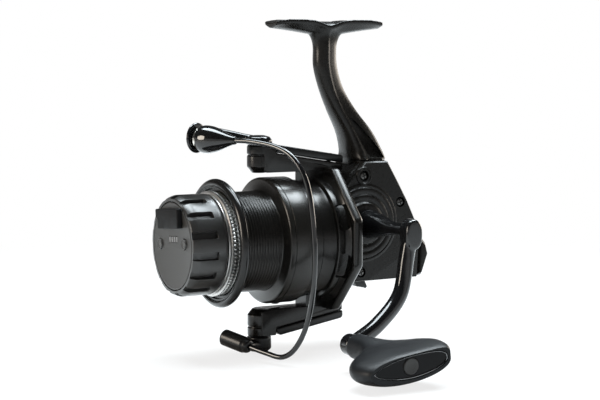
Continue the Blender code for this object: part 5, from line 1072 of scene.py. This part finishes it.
knob_outside = [
    (23.2, KNOB_REAR), (23.7, KNOB_REAR - 0.12), (24.1, KNOB_REAR - 0.45), (KNOB_RADIUS, KNOB_REAR - 1.0),
]
knob_outside += [(KNOB_RADIUS, -68.2 - 0.8 * index) for index in range(3)]
knob_outside += [(KNOB_RADIUS, -70.4 - 0.08 * index) for index in range(18)]
knob_outside += [(KNOB_RADIUS, -72.8 - 1.2 * index) for index in range(6)]
knob_outside += [
    (KNOB_RADIUS - 0.02, -80.3), (KNOB_RADIUS - 0.12, -80.8), (23.85, -81.8), (23.5, -82.6), (23.1, -83.3),
    (22.95, -83.52), (22.75, KNOB_FRONT),
]
knob_inside = [
    (21.5, KNOB_FRONT), (21.3, -83.4), (21.3, -82.1), (20.8, -82.1), (20.8, -68.5), (8.0, -68.5),
    (8.0, KNOB_REAR),
]
offsets = [0.0, 0.7, 1.2, 1.5, 1.6, 1.66, 1.71, 1.76, 1.8, 1.84, 1.89, 1.94, 2.0, 2.15, 2.6, 3.4, 4.3]
sector = 2 * pi * KNOB_RADIUS / SLOTS
around = [-offset for offset in reversed(offsets[1:])] + offsets + [sector / 2]
shell_rings = []
for radius, along in knob_outside + knob_inside:
    deepest = max(0.0, radius - SLOT_FLOOR) if (radius, along) in knob_outside else 0.0
    ring = []
    for slot in range(SLOTS):
        for offset in around:
            angle = KNOB_ROLL + 2 * pi * (slot + 0.5) / SLOTS + offset / KNOB_RADIUS
            depth = min(slot_depth(offset, along), deepest)
            ring.append(about_spool(radius - depth, along, angle))
    shell_rings.append(ring)
knob_plastic = satin_plastic(
    "knob_satin_black", (0.0085, 0.0082, 0.0078), (0.0170, 0.0161, 0.0150), 0.24, 0.55,
)
dress(bare(wrap(shell_rings), "knob_grip"), knob_plastic, "knob", ["knob_shell"], 35)

# The knob's face is a flat grey panel snapped into the front, with openings for two buttons,
# four small lights and the charging socket.
FACE_REAR, CUT_FRONT, CUT_REAR = -82.4, -85.0, -81.0
PORT_WIDTH, PORT_HEIGHT, PORT_RISE = 24.5, 9.5, 13.2
BUTTONS, BUTTON_RISE = [("left", -13.3), ("right", 13.3)], 1.0
BAR_PITCH, BAR_MIDDLE, BAR_RISE = 2.5, 1.2, 3.2
BARS = [BAR_MIDDLE + (bar - 1.5) * BAR_PITCH for bar in range(4)]


def on_face(reach, rise, along):
    """A point on the knob face, with the knob's roll."""
    x = reach * cos(KNOB_ROLL) - rise * sin(KNOB_ROLL)
    up = reach * sin(KNOB_ROLL) + rise * cos(KNOB_ROLL)
    return Vector((x, along, up + SPOOL_Z))


def face_skin(outline, reach, rise, layers):
    """Stacks an outline on the knob face, with an inset for each layer."""
    rings = []
    for along, margin in layers:
        rings.append([on_face(reach + a, rise + b, along) for a, b in inset(outline, margin)])
    return skin(rings)


panel_profile = [
    (0, KNOB_FRONT + 0.05), (20.2, KNOB_FRONT + 0.05), (20.5, KNOB_FRONT), (20.85, KNOB_FRONT + 0.1),
    (21.0, KNOB_FRONT + 0.35), (21.0, FACE_REAR), (0, FACE_REAR),
]
panel = bare(turn(panel_profile, SPOOL_POINT, FORE, 128), "knob_panel")
through = ((CUT_FRONT, 0), (CUT_REAR, 0))
openings = [
    rod(2.8, CUT_FRONT, CUT_REAR, on_face(reach, BUTTON_RISE, 0), FORE, 48) for name, reach in BUTTONS
]
openings += [face_skin(plate(1.6, 3.3, 0.3), middle, BAR_RISE, through) for middle in BARS]
openings.append(face_skin(plate(9.1, 2.1, 0.3), BAR_MIDDLE, BAR_RISE, ((-83.3, 0), (CUT_REAR, 0))))
openings.append(face_skin(plate(8.9, 3.2, 1.5), 0, PORT_RISE, through))
work(panel, "DIFFERENCE", openings)
panel_finish = satin_plastic("grey_panel_plastic", (0.017, 0.0162, 0.0153), (0.030, 0.0286, 0.0272), 0.34)
dress(panel, panel_finish, "knob", ["knob_face"])

# Four light bars in one clear moulding show the battery level through the panel.
# They are unlit and read as pale grey.
light_finish = satin_plastic("clear_light_bars", (0.16, 0.16, 0.165), (0.26, 0.26, 0.26), 0.20)
light_base = face_skin(plate(8.5, 1.5, 0.2), BAR_MIDDLE, BAR_RISE, ((-83.0, 0), (FACE_REAR, 0)))
lights = bare(light_base, "level_bars")
bar_layers = ((-83.6, 0.12), (-83.45, 0), (-82.6, 0))
work(lights, "UNION", [face_skin(plate(1.0, 2.7, 0.25), middle, BAR_RISE, bar_layers) for middle in BARS])
dress(lights, light_finish, "knob", ["level_lights"])

# Two small round buttons slide in the panel and stand just proud of it. Each is moulded in grey
# plastic, with a raised ring inside a raised rim.
button_profile = [
    (0, -84.0), (1.1, -84.0), (1.25, -84.15), (1.55, -84.15), (1.7, -84.0), (1.95, -84.0), (2.1, -84.25),
    (2.35, -84.25), (2.5, -84.0), (2.5, -83.0), (0, -83.0),
]
button_finish = satin_plastic("button_grey_plastic", (0.034, 0.0335, 0.033), (0.060, 0.059, 0.058), 0.30)
for name, reach in BUTTONS:
    key = bare(turn(button_profile, on_face(reach, BUTTON_RISE, 0), FORE, 56), "button_key_" + name)
    dress(key, button_finish, "button_" + name, ["button_" + name])

# The charging port sits under a hinged black flap at the top of the face. The flap is soft plastic,
# stepped down at one side for a fingernail.
PORT_FRONT, PORT_REAR = -86.3, -83.9
flap_layers = ((PORT_FRONT, 0.5), (PORT_FRONT + 0.12, 0.18), (PORT_FRONT + 0.4, 0), (PORT_REAR, 0))
flap = bare(face_skin(plate(PORT_WIDTH, PORT_HEIGHT, 0.9), 0, PORT_RISE, flap_layers), "port_flap")
step_shape = plate(PORT_WIDTH * 0.42, PORT_HEIGHT * 0.8, 0.5)
step_rise = PORT_RISE - PORT_HEIGHT * 0.35
step_layers = ((PORT_FRONT - 1, 0), (PORT_FRONT + 1.08, 0))
work(flap, "DIFFERENCE", [face_skin(step_shape, -PORT_WIDTH * 0.33, step_rise, step_layers)])
flap_finish = Finish("flap_soft_plastic", Specular_IOR_Level=0.06)
flap_specks = flap_finish.noise(1500, 2.0)
flap_cloud = flap_finish.noise(150, 3.0)
dress(
    flap,
    flap_finish.shade(
        Base_Color=flap_finish.blend(flap_specks, (0.0030, 0.0030, 0.0032), (0.0120, 0.0120, 0.0124)),
        Roughness=0.36 + 0.25 * flap_cloud,
        Normal=flap_finish.bump(flap_specks, 0.25, 0.00012),
    ),
    "port", ["port_cover"],
)

# The circuit board and its coin cell lie in the hollow of the knob behind the panel. The board is
# lacquered green and the cell is plain steel. Both keep their CAD shapes.
board = Finish("board_lacquer", Specular_IOR_Level=0.5)
tracks = board.noise(650, 1.0)
keep_node(
    board.shade(
        Base_Color=board.blend(tracks > 0.55, (0.012, 0.10, 0.035), (0.03, 0.20, 0.07)),
        Roughness=0.30 + 0.2 * tracks,
        Normal=board.bump(tracks > 0.55, 0.3, 0.00005),
    ),
    "circuit_board",
)
keep_node(ground, "coin_cell")

# The handle shank screws through the drive gear. It is turned steel in gloss black, with a wide
# collar against the cover that tapers to the arm.
SHANK_END = 54.0
shank_profile = [
    (0, -12.5), (2.0, -12.5), (2.0, 19.0), (6.7, 19.0), (7.1, 19.15), (7.2, 19.6), (7.2, 21.8), (7.05, 23.0),
    (6.6, 26.0), (5.9, 29.5), (5.0, 33.5), (4.15, 37.5), (3.45, 41.5), (3.05, 44.5), (2.9, 46.5),
    (2.9, SHANK_END), (0, SHANK_END),
]
shank = bare(turn(shank_profile, CRANK_POINT, ACROSS, 112), "handle_shank_turned")
dress(shank, gloss, "crank", ["handle_shank"], 50)

# The handle arm is a forged crank in gloss black. It drops from an oval knuckle, bends forward and
# ends in an eye for the grip's axle.
FORWARD, DROP, FLARE = 37.7, 49.7, 8.5
KNUCKLE_MIDDLE = 58.2
ARM_END_X = KNUCKLE_MIDDLE + FLARE
GRIP_POINT = Vector((0, CRANK_POINT.y - FORWARD, CRANK_POINT.z - DROP))
ARM_COURSE = [(0, 0, 0), (0.07, 0.26, 0.03), (0.20, 0.60, 0.25), (0.57, 0.845, 0.62), (1.0, 1.0, 1.0)]
AXLE_BORE = 2.5
arm_points = [
    CRANK_POINT + Vector((KNUCKLE_MIDDLE + flare * FLARE, -ahead * FORWARD, -down * DROP))
    for ahead, down, flare in ARM_COURSE
]
knuckle_rings = [
    [CRANK_POINT + Vector((x, a * grow, b * grow - 1.6)) for a, b in oval(4.6, 7.4, 48, 2.3)]
    for x, grow in ((54.3, 0.80), (54.8, 0.92), (55.8, 1.0), (60.4, 1.0), (61.5, 0.95), (62.0, 0.84))
]
eye_near, eye_far = ARM_END_X - 3.7, ARM_END_X + 3.7
handle_eye = [
    (0, eye_near), (3.8, eye_near), (5.0, eye_near + 1.2), (5.0, eye_far - 0.6), (4.4, eye_far), (0, eye_far),
]
handle_arm = melt(
    "handle_crank_arm",
    [
        skin(knuckle_rings),
        turn(eased(handle_eye, 0.4), GRIP_POINT, ACROSS, 96),
        sweep(flowing(arm_points, 14), oval(3.3, 3.6, 40, 2.6), ACROSS),
    ],
    0.28, 5, 0.45,
)
work(handle_arm, "DIFFERENCE", [rod(AXLE_BORE, ARM_END_X - 1.0, ARM_END_X + 6, GRIP_POINT, ACROSS, 40)])
dress(handle_arm, gloss, "crank", ["handle_arm"])

# The grip is a T-bar of soft-touch plastic that turns on its axle. A round neck opens into a long
# rounded bar, slightly tilted, with a pocket for the end plate.
GRIP_START, GRIP_END = 71.1, 116.5
GRIP_TILT, GRIP_SAG = radians(7), 2.2
GRIP_CROWN = 0.86
grip_sections = [
    (0.0, 5.3, 5.3), (0.03, 5.8, 5.8), (0.25, 6.1, 5.8), (0.40, 9.0, 6.4), (0.50, 15.5, 7.2),
    (0.60, 20.7, 8.15), (0.74, 23.5, 8.4), (0.88, 23.0, 7.9), (0.96, 21.9, 7.3), (1.0, 20.8, 6.55),
]


def grip_ring(outline, sag, x):
    """Lays an outline across the axle, tilted and sagging off it."""
    ring = []
    for a, b in outline:
        y = a * cos(GRIP_TILT) - b * sin(GRIP_TILT)
        z = a * sin(GRIP_TILT) + b * cos(GRIP_TILT) - sag
        ring.append(Vector((x, GRIP_POINT.y + y, GRIP_POINT.z + z)))
    return ring


def uneven_oval(half_a, half_b, powers, crown=1.0):
    """An oval with its own squareness in each quarter, from the rear top on, and a lower top half."""
    steps = 64
    points = []
    for index in range(steps):
        angle = 2 * pi * index / steps
        a, b, power = cos(angle), sin(angle), powers[4 * index // steps]
        spread = (abs(a) ** power + abs(b) ** power) ** (-1 / power)
        points.append((half_a * a * spread, half_b * b * spread * (crown if b > 0 else 1.0)))
    return points


grip_rings = []
for share, length, height in flowing([Vector(section) for section in grip_sections], 5):
    swell = ramp(share, 0.20, 0.60)
    powers = (2.2 + 4.6 * swell, 2.2 + 0.2 * swell, 2.2 - 0.1 * swell, 2.2 - 0.1 * swell)
    outline = uneven_oval(length, height, powers, 1 - (1 - GRIP_CROWN) * swell)
    grip_rings.append(grip_ring(outline, GRIP_SAG * swell, GRIP_START + share * (GRIP_END - GRIP_START)))
PLATE_LENGTH, PLATE_HEIGHT = 19.2, 5.4
PLATE_SAG = GRIP_SAG * 0.75
PLATE_POWERS = (2.9, 1.55, 1.55, 2.0)


def end_plate(layers):
    """The end plate's outline, blunt to the rear and pointed to the front, stacked along the axle."""
    rings = []
    for x, edge in layers:
        outline = uneven_oval(PLATE_LENGTH + edge, PLATE_HEIGHT + edge, PLATE_POWERS, GRIP_CROWN)
        rings.append(grip_ring(outline, PLATE_SAG, x))
    return rings


grip = bare(skin(grip_rings), "handle_soft_grip")
work(grip, "DIFFERENCE", [
    skin(end_plate(((114.6, 0.3), (117.5, 0.3)))),
    rod(AXLE_BORE, 70.0, 108.8, GRIP_POINT, ACROSS, 40),
])
soft_touch = Finish("soft_touch_grip", Specular_IOR_Level=0.14)
handled = soft_touch.noise(50, 4.0)
pores = soft_touch.noise(2600, 2.0)
dress(
    grip,
    soft_touch.shade(
        Base_Color=soft_touch.blend(handled, (0.0036, 0.0040, 0.0047), (0.0080, 0.0087, 0.0099)),
        Roughness=0.34 + 0.16 * handled,
        Normal=soft_touch.bump(pores, 0.18, 0.0001),
    ),
    "grip", ["handle_grip"], 35,
)

# The end plate is a glossy black lens set in the grip inside a thin frame, and a plain grey disc
# is pressed into its middle. The frame's grey metal colour is a painted highlight: it stands for the
# light line caught on a gloss black bevel round the lens.
PLATE_SEAT, FRAME_WIDTH = 114.9, 0.6
lens_edge = -FRAME_WIDTH - 0.1
lens = bare(skin(end_plate(((PLATE_SEAT, lens_edge), (115.85, lens_edge)))), "grip_lens")
disc_point = GRIP_POINT - UP * PLATE_SAG
work(lens, "DIFFERENCE", [rod(4.1, 115.0, 118.0, disc_point, ACROSS, 56)])
dress(lens, gloss_paint("smoked_lens", 0.08, 0.0), "grip", ["grip_inset"])
plate_frame = wrap(end_plate((
    (PLATE_SEAT, 0), (116.0, 0), (116.3, -0.15), (116.35, -0.3), (116.3, -0.45), (116.0, -FRAME_WIDTH),
    (PLATE_SEAT, -FRAME_WIDTH),
)))
# Painted highlight: the frame gets a lighter grey metal than the gloss black it stands for, to show the light
# line round the lens.
frame_painted_highlight = bright_metal("painted_highlight_chrome", (0.10, 0.10, 0.105), (0.22, 0.22, 0.22), 0.12)
dress(bare(plate_frame, "grip_lens_frame"), frame_painted_highlight, "grip")
disc_profile = [
    (0, 115.3), (3.85, 115.3), (3.85, 116.1), (3.7, 116.35), (3.4, 116.5), (3.0, 116.42), (0, 116.3),
]
disc = bare(turn(disc_profile, disc_point, ACROSS, 72), "grip_button")
dress(disc, panel_finish, "grip", ["grip_disc"])

# The stage is a white paper floor under the reel, with a white surround and four soft lamps.
# The camera looks from the handle's side and the front, slightly downwards.
lowest = min(corner[2] for corner in cad_box)
floor_mesh = bmesh.new()
bmesh.ops.create_grid(floor_mesh, x_segments=8, y_segments=8, size=2500.0)
bmesh.ops.translate(floor_mesh, verts=floor_mesh.verts, vec=(0, 0, lowest / MM - 0.5))
stage_floor = bare(floor_mesh, "stage_floor")
stage_finish = Finish("stage_white", Roughness=0.9, Specular_IOR_Level=0.0)
paper = stage_finish.noise(12, 3.0)
stage_finish.shade(Base_Color=stage_finish.blend(paper, (0.62, 0.62, 0.62), (0.65, 0.65, 0.65)))
reach = stage_finish.add("ShaderNodeVectorMath", {"operation": "LENGTH"}, {0: stage_finish.place}, 1)
fade = stage_finish.add("ShaderNodeMapRange", {"interpolation_type": "SMOOTHSTEP"}, {
    "Value": reach, "From Min": 0.2, "From Max": 0.5, "To Min": 0.78, "To Max": 1.0})
glow = stage_finish.add("ShaderNodeEmission", {}, {"Color": (1, 1, 1, 1), "Strength": 1.0})
seen = stage_finish.add("ShaderNodeLightPath", {}, {}, "Is Camera Ray")
shaded = Signal(stage_finish, stage_finish.shader.outputs[0])
paper_light = stage_finish.add("ShaderNodeMixShader", {}, {0: seen * fade, 1: shaded, 2: glow})
stage_finish.feed(stage_finish.tree.nodes["Material Output"].inputs["Surface"], paper_light)
stage_floor.data.materials.append(stage_finish.material)

world = bpy.data.worlds.new("studio")
bpy.context.scene.world = world
world.use_nodes = True
studio = Nodes(world.node_tree)
camera_ray = studio.add("ShaderNodeLightPath", {}, {}, "Is Camera Ray")
glossy_ray = studio.add("ShaderNodeLightPath", {}, {}, "Is Glossy Ray")
clear_ray = studio.add("ShaderNodeLightPath", {}, {}, "Is Transmission Ray")
direction = studio.add("ShaderNodeTexCoord", {}, {}, "Generated")
height = studio.add("ShaderNodeSeparateXYZ", {}, {0: direction}, 2)
AMBIENT, CEILING = 0.25, 0.06
backdrop = studio.add("ShaderNodeMapRange", {"interpolation_type": "SMOOTHSTEP"}, {
    "Value": height, "From Min": 0.0, "From Max": 0.25, "To Min": 1.0, "To Max": CEILING})
level = AMBIENT + (1 - AMBIENT) * (camera_ray + clear_ray) + glossy_ray * (backdrop - AMBIENT)
background = world.node_tree.nodes["Background"]
studio.feed(background.inputs["Color"], (1, 1, 1, 1))
studio.feed(background.inputs["Strength"], level)

COOL, WARM = (0.86, 0.95, 1.0), (1.0, 0.90, 0.78)
LAMP_AIM = Vector((0, -0.02, -0.09))
for name, spot, wide, high, power, tint in (
    ("front", (-0.12, -1.0, 0.16), 0.40, 0.50, 8.0, WARM),
    ("rim", (-0.15, 1.0, 0.08), 0.80, 0.40, 6.0, WARM),
    ("back", (-0.12, 0.40, 0.64), 0.60, 0.40, 15.0, COOL),
    ("top", (-0.15, -0.08, 0.72), 0.35, 0.80, 13.0, COOL),
):
    lamp = bpy.data.lights.new(name, "AREA")
    lamp.shape = "ELLIPSE"
    lamp.size, lamp.size_y = wide, high
    lamp.energy = power
    lamp.color = tint
    holder = bpy.data.objects.new(name, lamp)
    bpy.context.collection.objects.link(holder)
    holder.location = spot
    holder.rotation_euler = (LAMP_AIM - Vector(spot)).to_track_quat("-Z", "Y").to_euler()

camera = bpy.data.cameras.new("camera")
camera.sensor_width = 36.0
camera.lens = 96.86
eye = bpy.data.objects.new("camera", camera)
bpy.context.collection.objects.link(eye)
eye.location = (0.69295, -0.40706, -0.01595)
eye.rotation_euler = (radians(90 - 5.173), 0, radians(60.427))
bpy.context.scene.camera = eye
bpy.context.scene.view_settings.view_transform = "Standard"
